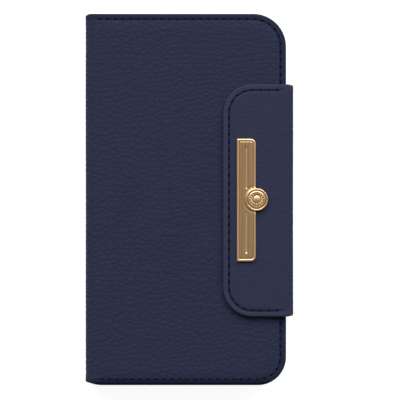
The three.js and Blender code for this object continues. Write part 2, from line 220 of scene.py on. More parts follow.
class Outline:
    """The flat cut of a sheet. p runs from its fold (0) to its free edge, and q is Y."""

    def __init__(self, length, low, high, low_radius, high_radius):
        self.length = length
        self.middle = (low + high) / 2
        self.half = (high - low) / 2
        self.low_radius = low_radius
        self.high_radius = high_radius

    def measure(self, p, q, inset):
        """Distance in from the nearest free edge, and place along a seam that lies inset from it."""
        across = q - self.middle
        radius = np.where(across > 0, self.high_radius, self.low_radius)
        from_end = self.length - p
        from_side = self.half - np.abs(across)
        cornered = (from_end < radius) & (from_side < radius)
        in_corner = radius - np.hypot(radius - from_end, radius - from_side)
        distance = np.where(cornered, in_corner, np.minimum(from_end, from_side))
        angle = np.arctan2(radius - from_side, radius - from_end)
        straight = self.half - radius
        round_corner = straight + (radius - inset) * angle
        past_corner = straight + (radius - inset) * RIGHT_ANGLE + from_end - radius
        along = np.where(from_end < from_side, np.abs(across), past_corner)
        along = np.where(cornered, round_corner, along)
        return distance, along * np.sign(across)

    def facing(self, p, q):
        """How far the nearest edge faces +Y: from -1 at the bottom edge to 1 at the top edge."""
        across = q - self.middle
        radius = np.where(across > 0, self.high_radius, self.low_radius)
        past_end = radius - (self.length - p)
        past_side = radius - (self.half - np.abs(across))
        cornered = (past_end > 0) & (past_side > 0)
        in_corner = past_side / np.maximum(np.hypot(past_end, past_side), 1e-6)
        straight = np.where(past_side > past_end, 1.0, 0.0)
        return np.where(cornered, in_corner, straight) * np.sign(across)

    def seam_point(self, along, inset):
        """(p, q, outward p, outward q) of a place along a seam."""
        side = math.copysign(1, along)
        radius = self.high_radius if side > 0 else self.low_radius
        straight = self.half - radius
        reach = radius - inset
        angle = min(max((abs(along) - straight) / reach, 0), RIGHT_ANGLE)
        beyond = max(abs(along) - straight - reach * RIGHT_ANGLE, 0)
        p = self.length - radius + reach * math.cos(angle) - beyond
        q = self.middle + side * (min(abs(along), straight) + reach * math.sin(angle))
        return p, q, math.cos(angle), side * math.sin(angle)

    def seam_length(self, inset, stop_p, side):
        """Place along the seam where it comes back to p = stop_p, above (1) or below (-1) the middle."""
        radius = self.high_radius if side > 0 else self.low_radius
        return self.half - radius + (radius - inset) * RIGHT_ANGLE + self.length - radius - stop_p


# ---- Meshes --------------------------------------------------------------------------------------------


def mesh_object(name, points, faces, material, place=None, seam=None, grain=None):
    """A smooth-shaded mesh from points in millimetres, with its shader's attributes."""
    mesh = bpy.data.meshes.new(name)
    mesh.from_pydata((np.asarray(points) * MM).tolist(), [], faces)
    for label, values in (("flat_place", place), ("seam", seam)):
        if values is not None:
            attribute = mesh.attributes.new(label, "FLOAT_VECTOR", "POINT")
            attribute.data.foreach_set("vector", np.asarray(values, np.float32).ravel())
    if grain is not None:
        attribute = mesh.attributes.new("grain", "FLOAT", "POINT")
        attribute.data.foreach_set("value", np.asarray(grain, np.float32))
    work = bmesh.new()
    work.from_mesh(mesh)
    bmesh.ops.recalc_face_normals(work, faces=work.faces)
    work.to_mesh(mesh)
    work.free()
    mesh.shade_smooth()
    mesh.set_sharp_from_angle(angle=math.radians(50))
    mesh.materials.append(material)
    made = bpy.data.objects.new(name, mesh)
    bpy.context.scene.collection.objects.link(made)
    return made


def band(first, second, count):
    """Faces between two closed rings of points, from the first index of each."""
    following = [*range(1, count), 0]
    return [[first + k, first + n, second + n, second + k] for k, n in enumerate(following)]


def prism(loop, z0, z1, start=0):
    """Points and faces of an upright solid with a closed loop as its section, numbered from start."""
    count = len(loop)
    points = [(x, y, z) for z in (z0, z1) for x, y in loop]
    ends = [list(range(first, first + count)) for first in (start, start + count)]
    return points, ends + band(start, start + count, count)


def sheet_grid(line, outline, inset, spacing, drawn_in):
    """p and q of a grid over the sheet, kept inset from its three free edges."""
    widest = max(outline.low_radius, outline.high_radius) - inset
    end = outline.length - inset
    start = line.steps(spacing)
    run = end - widest - start[-1]
    flat = start[-1] + np.linspace(0, run, max(2, math.ceil(run / spacing)) + 1)[1:]
    corner_steps = max(3, math.ceil(widest * RIGHT_ANGLE / spacing))
    corner = np.linspace(0, RIGHT_ANGLE, corner_steps + 1)[1:]
    p = np.concatenate([start, flat, end - widest * (1 - np.sin(corner))])
    rows = 2 * math.ceil(outline.half / spacing)
    v = np.linspace(-1, 1, rows + 1)
    reaches = []
    for radius, cut in zip((outline.low_radius, outline.high_radius), drawn_in(p)):
        reach = radius - inset
        short = np.clip(reach - (end - p), 0, reach)
        reaches.append(outline.half - inset - reach + np.sqrt(reach**2 - short**2) - cut)
    low_reach, high_reach = reaches
    grid_p = np.repeat(p[:, None], rows + 1, 1)
    grid_q = outline.middle + np.where(v > 0, high_reach[:, None] * v, low_reach[:, None] * v)
    return grid_p, grid_q


def rim_path(columns, rows):
    """Grid indices along the three free edges, from one end of the fold round to the other."""
    low = [(i, 0) for i in range(columns)]
    far = [(columns - 1, j) for j in range(1, rows)]
    high = [(i, rows - 1) for i in range(columns - 2, -1, -1)]
    return low + far + high


def rim_outward(outline, inset, p, q, path, columns):
    """Unit directions, in (p, q), that point out of the sheet at each rim point."""
    side = np.sign(q - outline.middle)
    reach = np.where(side > 0, outline.high_radius, outline.low_radius) - inset
    out_p = np.clip(1 - (outline.length - inset - p) / reach, 0, 1)
    out_q = side * np.sqrt(1 - out_p**2)
    far = np.array([i == columns - 1 for i, _ in path])
    return np.where(far, 1.0, out_p), np.where(far, 0.0, out_q)


def inner_faces(columns, rows, index, step_i, step_j):
    """The shell's inner side: wide cells that take in every rim vertex on their outer edges."""
    cuts_i = sorted({*range(0, columns, step_i), columns - 1})
    cuts_j = sorted({*range(0, rows, step_j), rows - 1})
    faces = []
    for i0, i1 in zip(cuts_i, cuts_i[1:]):
        for j0, j1 in zip(cuts_j, cuts_j[1:]):
            low = range(i0, i1) if j0 == 0 else [i0]
            far = range(j0, j1) if i1 == columns - 1 else [j0]
            high = range(i1, i0, -1) if j1 == rows - 1 else [i1]
            loop = [index(i, j0) for i in low] + [index(i1, j) for j in far]
            faces.append(loop + [index(i, j1) for i in high] + [index(i0, j1)])
    return faces, cuts_j


def even(value):
    """A depth that is the same all over."""
    return lambda p, q: 0 * p + value


def no_relief(p, q):
    """A plain face: no height, and no grain."""
    return 0 * p, 0 * p + 1


def uncut(p):
    """Long edges that run straight."""
    return 0 * p, 0 * p


def unmoved(p, q):
    """A cut that is used as it is."""
    return p, q


def shell(name, line, outline, material, skin, depth, relief=no_relief, *, edge, hem, spacing=COARSE,
          seam=(COVER_SEAM, NO_SEAM), drawn_in=uncut, shape=unmoved):
    """A closed sheet on a line. skin(p, q) is how deep its inner side lies, depth(p, q) how deep its rim
    reaches and relief(p, q) its outer face's height and grain. edge is the radius of its outer edges and
    hem the width of its rim. seam is how far its stitches lie inside the edge, and the p they start at."""
    grid_p, grid_q = sheet_grid(line, outline, edge, spacing, drawn_in)
    columns, rows = grid_p.shape
    path = rim_path(columns, rows)
    at = np.array(path)
    rim_p, rim_q = grid_p[at[:, 0], at[:, 1]], grid_q[at[:, 0], at[:, 1]]
    out_p, out_q = rim_outward(outline, edge, rim_p, rim_q, path, columns)
    height, grain = relief(grid_p, grid_q)
    top = -height[at[:, 0], at[:, 1]]
    bottom = depth(rim_p, rim_q)
    inside = skin(rim_p, rim_q)
    under = min(UNDER_ROUND, edge)
    corner = math.sqrt(0.5)
    rim = [(edge * math.sin(a), top + edge * (1 - math.cos(a))) for a in np.radians([30, 60, 90])]
    rim += [
        (edge, bottom - under),
        (edge - under * (1 - corner), bottom - under * (1 - corner)),
        (edge - under, bottom),
        (edge - hem, bottom),
        (edge - hem, inside),
    ]

    flats = [np.stack([grid_p.ravel(), grid_q.ravel()], -1)]
    heights = [height.ravel()]
    for outward, below in rim:
        flats.append(np.stack([rim_p + out_p * outward, rim_q + out_q * outward], -1))
        heights.append(0 * rim_p - below)

    loop = len(path)
    first_loop = columns * rows
    last_loop = first_loop + (len(rim) - 1) * loop
    inner = {}

    def rim_index(i, j):
        if j == 0:
            return i
        if i == columns - 1:
            return columns - 1 + j
        return columns + rows - 2 + (columns - 1 - i)

    def inner_index(i, j):
        if j in (0, rows - 1) or i == columns - 1:
            return last_loop + rim_index(i, j)
        return inner.setdefault((i, j), last_loop + loop + len(inner))

    steps = (2, 4) if spacing < PLAIN else (1, 1)
    faces, cuts_j = inner_faces(columns, rows, inner_index, *steps)
    if inner:
        chosen = np.array(list(inner))
        in_p, in_q = grid_p[chosen[:, 0], chosen[:, 1]], grid_q[chosen[:, 0], chosen[:, 1]]
        flats.append(np.stack([in_p, in_q], -1))
        heights.append(-skin(in_p, in_q))

    corner_index = np.arange(columns * rows).reshape(columns, rows)
    cells = [corner_index[:-1, :-1], corner_index[1:, :-1], corner_index[1:, 1:], corner_index[:-1, 1:]]
    faces += np.stack(cells, -1).reshape(-1, 4).tolist()
    rings = [[int(corner_index[i, j]) for i, j in path]]
    rings += [list(range(first_loop + k * loop, first_loop + (k + 1) * loop)) for k in range(len(rim))]
    for upper, lower in zip(rings, rings[1:]):
        faces += [[upper[k], upper[k + 1], lower[k + 1], lower[k]] for k in range(loop - 1)]
    cap = [int(corner_index[0, j]) for j in range(rows)]
    cap += [ring[-1] for ring in rings[1:]]
    cap += [inner_index(0, j) for j in reversed(cuts_j[1:-1])]
    cap += [ring[0] for ring in reversed(rings[1:])]
    faces.append(cap)

    flat = np.concatenate(flats)
    p, q = shape(flat[:, 0], flat[:, 1])
    points = line.place(p, q, np.concatenate(heights))
    seam_inset, seam_from = seam
    distance, along = outline.measure(flat[:, 0], flat[:, 1], seam_inset)
    sewn = smooth(seam_from - 1, seam_from, flat[:, 0])
    sewn = np.where(np.arange(len(p)) < columns * rows, sewn, 0)
    grains = np.ones(len(p))
    grains[: columns * rows] = grain.ravel()
    place = np.stack([p, q, 0 * p], -1)
    return mesh_object(name, points, faces, material, place, np.stack([along, distance, sewn], -1), grains)


# ---- Leather grain -------------------------------------------------------------------------------------

GRAIN_TABLE = 128  # the grain's cells repeat after this many
PEBBLE_RADIUS = 0.84  # of a cell
PEBBLE_SPREAD = 0.7  # of a cell: how far a pebble's middle may lie off its cell's
grain_sites = np.random.default_rng(7).random((GRAIN_TABLE, GRAIN_TABLE, 3))


def pebbles(p, q, size):
    """Pebbled grain: round pebbles that overlap like scales, each one over the pebble above it. It is 0 in
    the creases between them and about 1 on top of them."""
    wobble_p = 0.35 * np.sin(q / 4.1 + np.sin(p / 6.3)) + 0.2 * np.sin(q / 1.9 + p / 3.7)
    wobble_q = 0.3 * np.sin(p / 5.2 + 0.7 * np.sin(q / 7.7)) + 0.18 * np.sin(p / 2.9 - q / 5.1)
    a = p / size[0] + wobble_p
    b = q / size[1] + wobble_q
    cell_a, cell_b = np.floor(a).astype(int), np.floor(b).astype(int)
    least = 0.15
    discs = []
    for step_a in (-1, 0, 1):
        for step_b in (-1, 0, 1):
            site = grain_sites[(cell_a + step_a) % GRAIN_TABLE, (cell_b + step_b) % GRAIN_TABLE]
            across = cell_a + step_a + least + PEBBLE_SPREAD * site[..., 0] - a
            above = b - cell_b - step_b - least - PEBBLE_SPREAD * site[..., 1]
            inside = PEBBLE_RADIUS + 0.12 * site[..., 2] - np.hypot(across, above)
            discs.append((above, inside))
    over = np.full(a.shape, -9.0)
    own = np.zeros(a.shape)
    for above, inside in discs:
        covers = (inside > 0) & (above > over)
        over = np.where(covers, above, over)
        own = np.where(covers, inside, own)
    beyond = np.full(a.shape, 9.0)
    for above, inside in discs:
        beyond = np.where((above > over) & (inside <= 0), np.minimum(beyond, -inside), beyond)
    crown = smooth(0.0, 0.3, own) * (1 - 0.3 * np.clip(own, 0, 1.2))
    return crown * smooth(-0.08, 0.14, beyond)


def leather_relief(line, outline, seam, pad, grain_height, sign, drop):
    """Height and grain of a stitched panel: a bulging side, and on its face a low border, the seam's groove
    and the padded field inside. The border falls away by drop at the bottom edge, and not at the top. sign
    is -1 where the panel is seen from its other side, and its grain is mirrored."""
    inset, seam_from = seam
    rise, slope = pad
    groove_width, groove_depth = SEAM_GROOVE

    def relief(p, q):
        distance, _ = outline.measure(p, q, inset)
        field = 1 - (1 - np.clip((distance - inset) / slope, 0, 1)) ** 2.2
        grained = smooth(inset + 0.2, inset + 1.4, distance)
        grain = pebbles(sign * p, q, GRAIN_CELL)
        groove = np.exp(-(((distance - inset) / groove_width) ** 2)) * smooth(seam_from - 2, seam_from, p)
        swell = SWELL * (np.sin(p / 17 + q / 29) * np.sin(q / 23 - p / 41) - 1)
        padded = smooth(line.face - 1, line.face + 5, p)
        height = rise * padded * (field - 1) + swell * field - groove_depth * groove
        height += SIDE_BULGE * (1 - smooth(line.leg, line.face, p))
        outer = 1 - np.clip(distance / (inset - 0.5), 0, 1)
        height -= drop * (0.5 - 0.5 * outline.facing(p, q)) * outer**1.3
        height += grain_height * (grain - 1) * (0.2 + 0.8 * grained)
        return height, 1 - (1 - grain) * grained

    return relief


# ---- Materials -----------------------------------------------------------------------------------------


class Graph:
    """The nodes of a new material or world, by short names."""

    def __init__(self, made):
        made.use_nodes = True
        self.made = made
        self.tree = made.node_tree

    def node(self, kind, **settings):
        made = self.tree.nodes.new(kind)
        for key, value in settings.items():
            setattr(made, key, value)
        return made

    def put(self, socket, value):
        """Links a socket to a node's output, or sets its value."""
        if isinstance(value, bpy.types.NodeSocket):
            self.tree.links.new(value, socket)
        else:
            socket.default_value = value

    def set(self, **values):
        """Sets the shader's inputs, by their names with _ for each space."""
        shader = self.tree.nodes["Principled BSDF"]
        for key, value in values.items():
            self.put(shader.inputs[key.replace("_", " ")], value)

    def math(self, operation, a, b=0.0):
        made = self.node("ShaderNodeMath", operation=operation)
        self.put(made.inputs[0], a)
        self.put(made.inputs[1], b)
        return made.outputs[0]

    def ease(self, value, low, high, to_low=0.0, to_high=1.0):
        """to_low where the value is below low, to_high above high, and an even ease between them."""
        made = self.node("ShaderNodeMapRange", interpolation_type="SMOOTHSTEP")
        for socket, number in zip(made.inputs, (value, low, high, to_low, to_high)):
            self.put(socket, number)
        return made.outputs[0]

    def mix(self, factor, a, b):
        made = self.node("ShaderNodeMix", data_type="RGBA")
        self.put(made.inputs[0], factor)
        self.put(made.inputs[6], a)
        self.put(made.inputs[7], b)
        return made.outputs[2]

    def attribute(self, name):
        return self.node("ShaderNodeAttribute", attribute_name=name)

    def flat_place(self):
        """The place on a sheet while it lies flat, in millimetres."""
        return self.attribute("flat_place").outputs["Vector"]

    def object_place(self):
        """The place in the part's frame, in metres."""
        return self.node("ShaderNodeTexCoord").outputs["Object"]

    def parts(self, vector):
        made = self.node("ShaderNodeSeparateXYZ")
        self.put(made.inputs[0], vector)
        return made.outputs

    def stretched(self, vector, scale):
        made = self.node("ShaderNodeMapping")
        self.put(made.inputs["Vector"], vector)
        self.put(made.inputs["Scale"], scale)
        return made.outputs[0]

    def noise(self, vector, scale, detail=2.0, roughness=0.5):
        made = self.node("ShaderNodeTexNoise")
        self.put(made.inputs["Vector"], vector)
        self.put(made.inputs["Scale"], scale)
        self.put(made.inputs["Detail"], detail)
        self.put(made.inputs["Roughness"], roughness)
        return made.outputs[0]

    def bump(self, height, distance_mm, strength=1.0, normal=None):
        made = self.node("ShaderNodeBump")
        self.put(made.inputs["Strength"], strength)
        self.put(made.inputs["Distance"], distance_mm * MM)
        self.put(made.inputs["Height"], height)
        if normal is not None:
            self.put(made.inputs["Normal"], normal)
        return made.outputs[0]


def colour(red, green, blue):
    """A shader colour from an sRGB colour of 0 to 255."""
    channels = [c / 255 for c in (red, green, blue)]
    linear = [c / 12.92 if c <= 0.04045 else ((c + 0.055) / 1.055) ** 2.4 for c in channels]
    return (*linear, 1.0)


HOLE_STRETCH = 2.0  # a needle hole's length over its width
HOLE_EDGE = (0.28, 0.5)  # it fades out between these distances from its middle
# painted shade: the needle holes are painted this near-black, in place of the shade inside them
PAINTED_HOLE_SHADE = (0.0004, 0.0008, 0.004, 1.0)


def needle_holes(graph, inset, pitch):
    """1 in each needle hole of the seam, and 0 elsewhere."""
    along, distance, sewn = graph.parts(graph.attribute("seam").outputs["Vector"])
    turns = graph.math("ADD", graph.math("DIVIDE", along, pitch), 0.5)
    to_hole = graph.math("MULTIPLY", graph.math("SUBTRACT", graph.math("FRACT", turns), 0.5), pitch)
    lengthways = graph.math("DIVIDE", to_hole, HOLE_STRETCH)
    beside = graph.math("SUBTRACT", distance, inset)
    squares = [graph.math("MULTIPLY", x, x) for x in (lengthways, beside)]
    reach = graph.math("SQRT", graph.math("ADD", *squares))
    return graph.math("MULTIPLY", graph.ease(reach, *HOLE_EDGE, 1.0, 0.0), sewn)


NAVY = colour(38, 42, 62)
NAVY_BORDER = colour(31, 35, 54)
# painted shade: the colour a cover's border is painted towards its bottom edge, in place of the shade there
PAINTED_BOTTOM_SHADE = colour(5, 8, 30)
STRAP_NAVY = colour(42, 45, 65)
STRAP_BORDER = colour(46, 49, 70)
# painted shade: the colour painted into the creases between pebbles and into the seam's groove
PAINTED_CREASE_SHADE = colour(10, 14, 32)


def leather_material(name, field, border, inset, pitch, shade, fine=1.0):
    """Pebbled leather: painted shade in the creases between pebbles, a border of its own, fine wrinkles,
    and needle holes along the seam that are painted near-black as painted shade. The border is painted
    darker along the bottom edge of a cover, as painted shade. shade is how much painted shade darkens the
    seam's groove, and fine how deep the wrinkles are."""
    graph = Graph(bpy.data.materials.new(name))
    place = graph.flat_place()
    # painted shade: the border is painted darker along the cover's bottom edge
    bottom = graph.ease(graph.parts(place)[Y], cover_low, cover_low + inset + 0.6, 1.0, 0.0)
    border = graph.mix(bottom, border, PAINTED_BOTTOM_SHADE)
    grain = graph.attribute("grain").outputs["Fac"]
    _, distance, sewn = graph.parts(graph.attribute("seam").outputs["Vector"])
    holes = needle_holes(graph, inset, pitch)
    # painted shade: the seam's groove is painted darker
    from_seam = graph.math("ABSOLUTE", graph.math("SUBTRACT", distance, inset))
    groove = graph.math("MULTIPLY", graph.ease(from_seam, 0.1, 0.75, shade, 0.0), sewn)
    blotches = graph.noise(place, 0.06, 3.0)
    inside = graph.ease(distance, inset - 0.4, inset + 0.8)
    tone = graph.mix(inside, border, field)
    tone = graph.mix(graph.ease(blotches, 0.3, 0.7, 0.0, 0.12), tone, border)
    # painted shade in the creases between pebbles, and in the seam's groove
    tone = graph.mix(graph.ease(grain, 0.0, 0.4, 0.2, 0.0), tone, PAINTED_CREASE_SHADE)
    tone = graph.mix(groove, tone, PAINTED_CREASE_SHADE)
    # painted shade in the needle holes
    tone = graph.mix(holes, tone, PAINTED_HOLE_SHADE)
    wrinkles = graph.noise(graph.stretched(place, (1.0, 1.6, 1.0)), 1.1, 4.0, 0.6)
    pores = graph.noise(place, 4.5, 2.0)
    normal = graph.bump(wrinkles, 0.05 * fine, 0.6)
    normal = graph.bump(pores, 0.02, 0.5, normal)
    normal = graph.bump(graph.math("SUBTRACT", 1.0, holes), 0.35, 0.8, normal)
    worn = graph.math("ADD", grain, graph.math("MULTIPLY", pores, 0.3))
    roughness = graph.ease(worn, 0.2, 1.2, 0.74, 0.64)
    graph.set(Base_Color=tone, Roughness=roughness, Normal=normal)
    graph.set(Specular_IOR_Level=0.13, Specular_Tint=(0.5, 0.65, 1.0, 1.0))
    return graph.made


def lining_material():
    """Brushed microfibre: a short nap that mottles the colour, and a faint sheen."""
    graph = Graph(bpy.data.materials.new("microfibre_lining"))
    place = graph.flat_place()
    nap = graph.noise(graph.stretched(place, (1.0, 2.5, 1.0)), 2.2, 4.0, 0.7)
    brushed = graph.noise(graph.stretched(place, (0.05, 0.16, 0.1)), 1.0, 2.0)
    tone = graph.mix(graph.ease(nap, 0.3, 0.75), colour(22, 26, 44), colour(34, 39, 62))
    tone = graph.mix(graph.ease(brushed, 0.4, 0.65, 0.0, 0.35), tone, colour(41, 47, 72))
    graph.set(Base_Color=tone, Roughness=0.92, Normal=graph.bump(nap, 0.12, 0.8))
    graph.set(Sheen_Weight=0.25, Sheen_Roughness=0.5, Sheen_Tint=(0.45, 0.5, 0.8, 1.0))
    graph.set(Specular_IOR_Level=0.2)
    return graph.made


def thread_material():
    """Twisted polyester thread."""
    graph = Graph(bpy.data.materials.new("sewing_thread"))
    place = graph.flat_place()
    along, around, _ = graph.parts(place)
    turns = graph.math("ADD", graph.math("MULTIPLY", along, 9.0), around)
    ply = graph.math("SINE", turns)
    tone = graph.mix(graph.ease(ply, -1.0, 0.6), colour(10, 14, 33), colour(21, 26, 51))
    graph.set(Base_Color=tone, Roughness=0.65, Normal=graph.bump(ply, 0.05, 0.9), Specular_IOR_Level=0.15)
    return graph.made


def tpu_material():
    """Moulded TPU with a fine spark-eroded texture."""
    graph = Graph(bpy.data.materials.new("moulded_tpu"))
    place = graph.object_place()
    spark = graph.noise(place, 3500.0, 2.0)
    cloud = graph.noise(place, 45.0, 2.0)
    tone = graph.mix(graph.ease(cloud, 0.3, 0.7), colour(19, 23, 40), colour(26, 31, 51))
    roughness = graph.ease(spark, 0.3, 0.7, 0.5, 0.62)
    graph.set(Base_Color=tone, Roughness=roughness, Normal=graph.bump(spark, 0.02, 0.5))
    graph.set(Specular_IOR_Level=0.3)
    return graph.made


def gold_material(name, field_height):
    """Pale gold plate: its field, at field_height, is brushed, and what is raised or sunk is polished. The
    polished parts are painted a lighter gold: partly their own finish, partly a painted reflection.
    """
    graph = Graph(bpy.data.materials.new(name))
    place = graph.object_place()
    height = graph.parts(place)[Z]
    from_field = graph.math("ABSOLUTE", graph.math("SUBTRACT", height, field_height * MM))
    polish_edge = (0.08 * MM, 0.16 * MM)
    polished = graph.ease(from_field, *polish_edge)
    streaks = graph.noise(graph.stretched(place, (3000.0, 22.0, 300.0)), 1.0, 3.0, 0.6)
    broad = graph.noise(graph.stretched(place, (900.0, 14.0, 100.0)), 1.0, 2.0)
    brushed = graph.mix(graph.ease(streaks, 0.3, 0.7), colour(150, 120, 80), colour(187, 152, 107))
    brushed = graph.mix(graph.ease(broad, 0.35, 0.65, 0.0, 0.5), brushed, colour(188, 157, 113))
    # the polished parts' lighter gold is partly their finish and partly a painted reflection
    tone = graph.mix(polished, brushed, colour(224, 189, 146))
    roughness = graph.ease(from_field, *polish_edge, 0.42, 0.38)
    strength = graph.math("MULTIPLY", graph.math("SUBTRACT", 1.0, polished), 0.5)
    normal = graph.bump(streaks, 0.02, strength)
    graph.set(Base_Color=tone, Metallic=1.0, Roughness=roughness, Normal=normal)
    graph.set(Coat_Weight=0.9, Coat_Roughness=0.17)
    return graph.made


def plain_material(name, low, high, scale, roughness, metallic=0.0, grain_mm=0.05):
    """A hidden part's finish: two tones mottled by noise, with a bump to match."""
    graph = Graph(bpy.data.materials.new(name))
    place = graph.object_place()
    mottle = graph.noise(place, scale, 4.0, 0.65)
    tone = graph.mix(graph.ease(mottle, 0.3, 0.7), low, high)
    graph.set(Base_Color=tone, Roughness=roughness, Metallic=metallic)
    graph.set(Normal=graph.bump(mottle, grain_mm, 0.6))
    return graph.made


POCKET_BORDER = 1.6  # the width of the pockets' plainer border

cover_leather = leather_material("cover_leather", NAVY, NAVY_BORDER, COVER_SEAM, COVER_PITCH, 0.2)
strap_leather = leather_material("strap_leather", STRAP_NAVY, STRAP_BORDER, STRAP_SEAM, STRAP_PITCH, 0.5, 0.8)
pocket_leather = leather_material(
    "pocket_leather", colour(31, 37, 63), NAVY_BORDER, POCKET_BORDER, COVER_PITCH, 0.2, 0.6
)
lining = lining_material()
thread = thread_material()
tpu = tpu_material()
board = plain_material("pressed_board", colour(105, 98, 86), colour(132, 124, 110), 900.0, 0.9)
foam = plain_material("padding_foam", colour(56, 59, 68), colour(74, 78, 88), 2200.0, 0.95, 0.0, 0.15)
steel = plain_material("nickel_steel", colour(176, 178, 182), colour(205, 207, 210), 1400.0, 0.3, 1.0, 0.01)

# ---- Outer leather -------------------------------------------------------------------------------------


def fold_over(piece, line):
    """Bakes a sheet's placement into its mesh. It finds where its line's corner starts and stops, but nothing
    uses them.
    """
    leg_end, face_start = line.turn_ends()
    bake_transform(piece)


def cover_outline(line):
    return Outline(line.length, cover_low, cover_high, BOTTOM_CORNER, TOP_CORNER)


def strap_outline(line, radius=STRAP_CORNER):
    return Outline(line.length, strap_low, strap_high, radius, radius)


def spine_drawn_in(line):
    """How far a cover's bottom and top edges draw in where it turns into the spine."""

    def drawn_in(p):
        low = SPINE_CUT[0] * (1 - smooth(line.leg, line.face + 3, p))
        high = SPINE_CUT[1] * (1 - smooth(line.leg, line.leg + 0.6 * line.turn, p))
        return low, high

    return drawn_in


def strap_drawn_in(p):
    """How far the tongue's top and bottom edges draw in on the strap's side."""
    cut = STRAP_CUT * (1 - smooth(tongue_line.leg, tongue_line.face, p))
    return cut, cut


cover_end = front_high[X] + COVER_OVERHANG
front_line = Bend(spine_low[X], spine_middle, front_high[Z], cover_end, SPINE_TURN)
back_line = Bend(spine_low[X], spine_middle, back_low[Z], cover_end, SPINE_TURN)
tongue_line = Bend(side_high[X], side_middle, tongue_high[Z], tongue_low[X], STRAP_TURN)
tail_line = Bend(side_high[X], side_middle, tail_low[Z], tail_low[X], STRAP_TURN)

spine_depth = spine_lining_low[X] - spine_low[X] - HEM_GAP
front_depth = front_high[Z] - front_lining_high[Z] - HEM_GAP
back_depth = back_lining_low[Z] - back_low[Z] - HEM_GAP
tongue_depth = tongue_high[Z] - tongue_lining_high[Z] - HEM_GAP
side_depth = side_high[X] - side_lining_high[X] - HEM_GAP


def depth_over(line, on_side, on_face):
    """A depth that changes from the side's to the face's round the corner."""
    return lambda p, q: on_side + (on_face - on_side) * smooth(line.leg, line.face, p)


def cover_sheet(name, line, skin, depth, pad, sign, drop, edge):
    """A cover's outer leather, with its seam and the padded field inside it."""
    outline = cover_outline(line)
    seam = (COVER_SEAM, line.face + COVER_SEAM_GAP)
    relief = leather_relief(line, outline, seam, pad, COVER_GRAIN, sign, drop)
    return shell(
        name, line, outline, cover_leather, skin, depth, relief,
        edge=edge, hem=COVER_HEM, spacing=FINE, seam=seam, drawn_in=spine_drawn_in(line),
    )


BORDER_END = 4.0  # the front leather's inner side lies deeper from its edge to this far in


def front_cover():
    """The front cover's leather, which is pressed down in its border, beside the padding."""
    outline = cover_outline(front_line)

    def skin(p, q):
        distance, _ = outline.measure(p, q, COVER_SEAM)
        return SKIN + FRONT_PAD[0] * (1 - smooth(COVER_SEAM, BORDER_END, distance))

    depth = depth_over(front_line, spine_depth, front_depth)
    return cover_sheet(
        "front_cover_leather", front_line, skin, depth, FRONT_PAD, 1, COVER_DROP, COVER_ROUND
    )


TAIL_SIDE = (0.3, 2.0)  # beside the strap's tail, the back's edge thickens between these distances
TAIL_END = (2.0, 4.0)  # and these are the distances in from its edge


def back_cover():
    """The back's leather, with the camera window. Its edge is thin where the strap's tail goes in."""
    whole = depth_over(back_line, spine_depth, back_depth)
    thin = SKIN + RIM_REACH
    strap_half = (strap_high - strap_low) / 2
    strap_centre = (strap_high + strap_low) / 2

    def depth(p, q):
        beside_strap = smooth(strap_half + TAIL_SIDE[0], strap_half + TAIL_SIDE[1], np.abs(q - strap_centre))
        inboard = 1 - smooth(back_line.length - TAIL_END[1], back_line.length - TAIL_END[0], p)
        return thin + (whole(p, q) - thin) * np.maximum(beside_strap, inboard)

    piece = cover_sheet("back_cover_leather", back_line, even(SKIN), depth, BACK_PAD, -1, 0.0, BACK_ROUND)
    cut_window(piece, back_low[Z] - 1, back_high[Z] + 1)
    return piece


def rounded_rectangle(centre, size, radius, steps=10):
    """Points round a rectangle with rounded corners."""
    points = []
    for turn, (sx, sy) in enumerate(((1, 1), (-1, 1), (-1, -1), (1, -1))):
        for step in range(steps + 1):
            angle = RIGHT_ANGLE * (turn + step / steps)
            x = centre[0] + sx * (size[0] / 2 - radius) + radius * math.cos(angle)
            y = centre[1] + sy * (size[1] / 2 - radius) + radius * math.sin(angle)
            points.append((x, y))
    return points


# The camera window, whose place and size follow from the phone that the tray is moulded to.
CAMERA_SIZE = (32.0, 33.0)
CAMERA_CORNER = 8.0
CAMERA_INSET = 5.0  # how far the camera's field lies inside the phone's edges
CAMERA_MARGIN = 1.5  # the collar's wall, and the gap round it
PHONE_INSET = 1.5  # the tray's wall and the phone's clearance
KEY_PROUD = 0.6  # how far the key covers stand out of the tray's side
tray_right = tray_high[X] - KEY_PROUD - PHONE_INSET
tray_top = tray_high[Y] - PHONE_INSET
camera_centre = (
    tray_right - CAMERA_INSET - CAMERA_SIZE[0] / 2,
    tray_top - CAMERA_INSET - CAMERA_SIZE[1] / 2,
)


def cut_window(piece, z0, z1):
    """Cuts the camera window through a piece."""
    size = [side + 2 * CAMERA_MARGIN for side in CAMERA_SIZE]
    loop = rounded_rectangle(camera_centre, size, CAMERA_CORNER + CAMERA_MARGIN)
    cutter = mesh_object("window_cutter", *prism(loop, z0, z1), piece.data.materials[0])
    cut = piece.modifiers.new("window", "BOOLEAN")
    cut.operation = "DIFFERENCE"
    cut.solver = "EXACT"
    cut.object = cutter
    bpy.context.view_layer.update()
    shaped = piece.evaluated_get(bpy.context.evaluated_depsgraph_get())
    mesh = bpy.data.meshes.new_from_object(shaped)
    piece.modifiers.clear()
    piece.data = mesh
    bpy.data.objects.remove(cutter)


def strap_tongue():
    """The strap's leather over the front and down to the middle of its side."""
    outline = strap_outline(tongue_line)
    seam = (STRAP_SEAM, tongue_line.face + STRAP_SEAM_GAP)
    relief = leather_relief(tongue_line, outline, seam, STRAP_PAD, STRAP_GRAIN, 1, 0.0)
    return shell(
        "strap_tongue_leather", tongue_line, outline, strap_leather,
        even(STRAP_SKIN), depth_over(tongue_line, side_depth, tongue_depth), relief,
        edge=STRAP_ROUND, hem=STRAP_HEM, spacing=FINE, seam=seam, drawn_in=strap_drawn_in,
    )


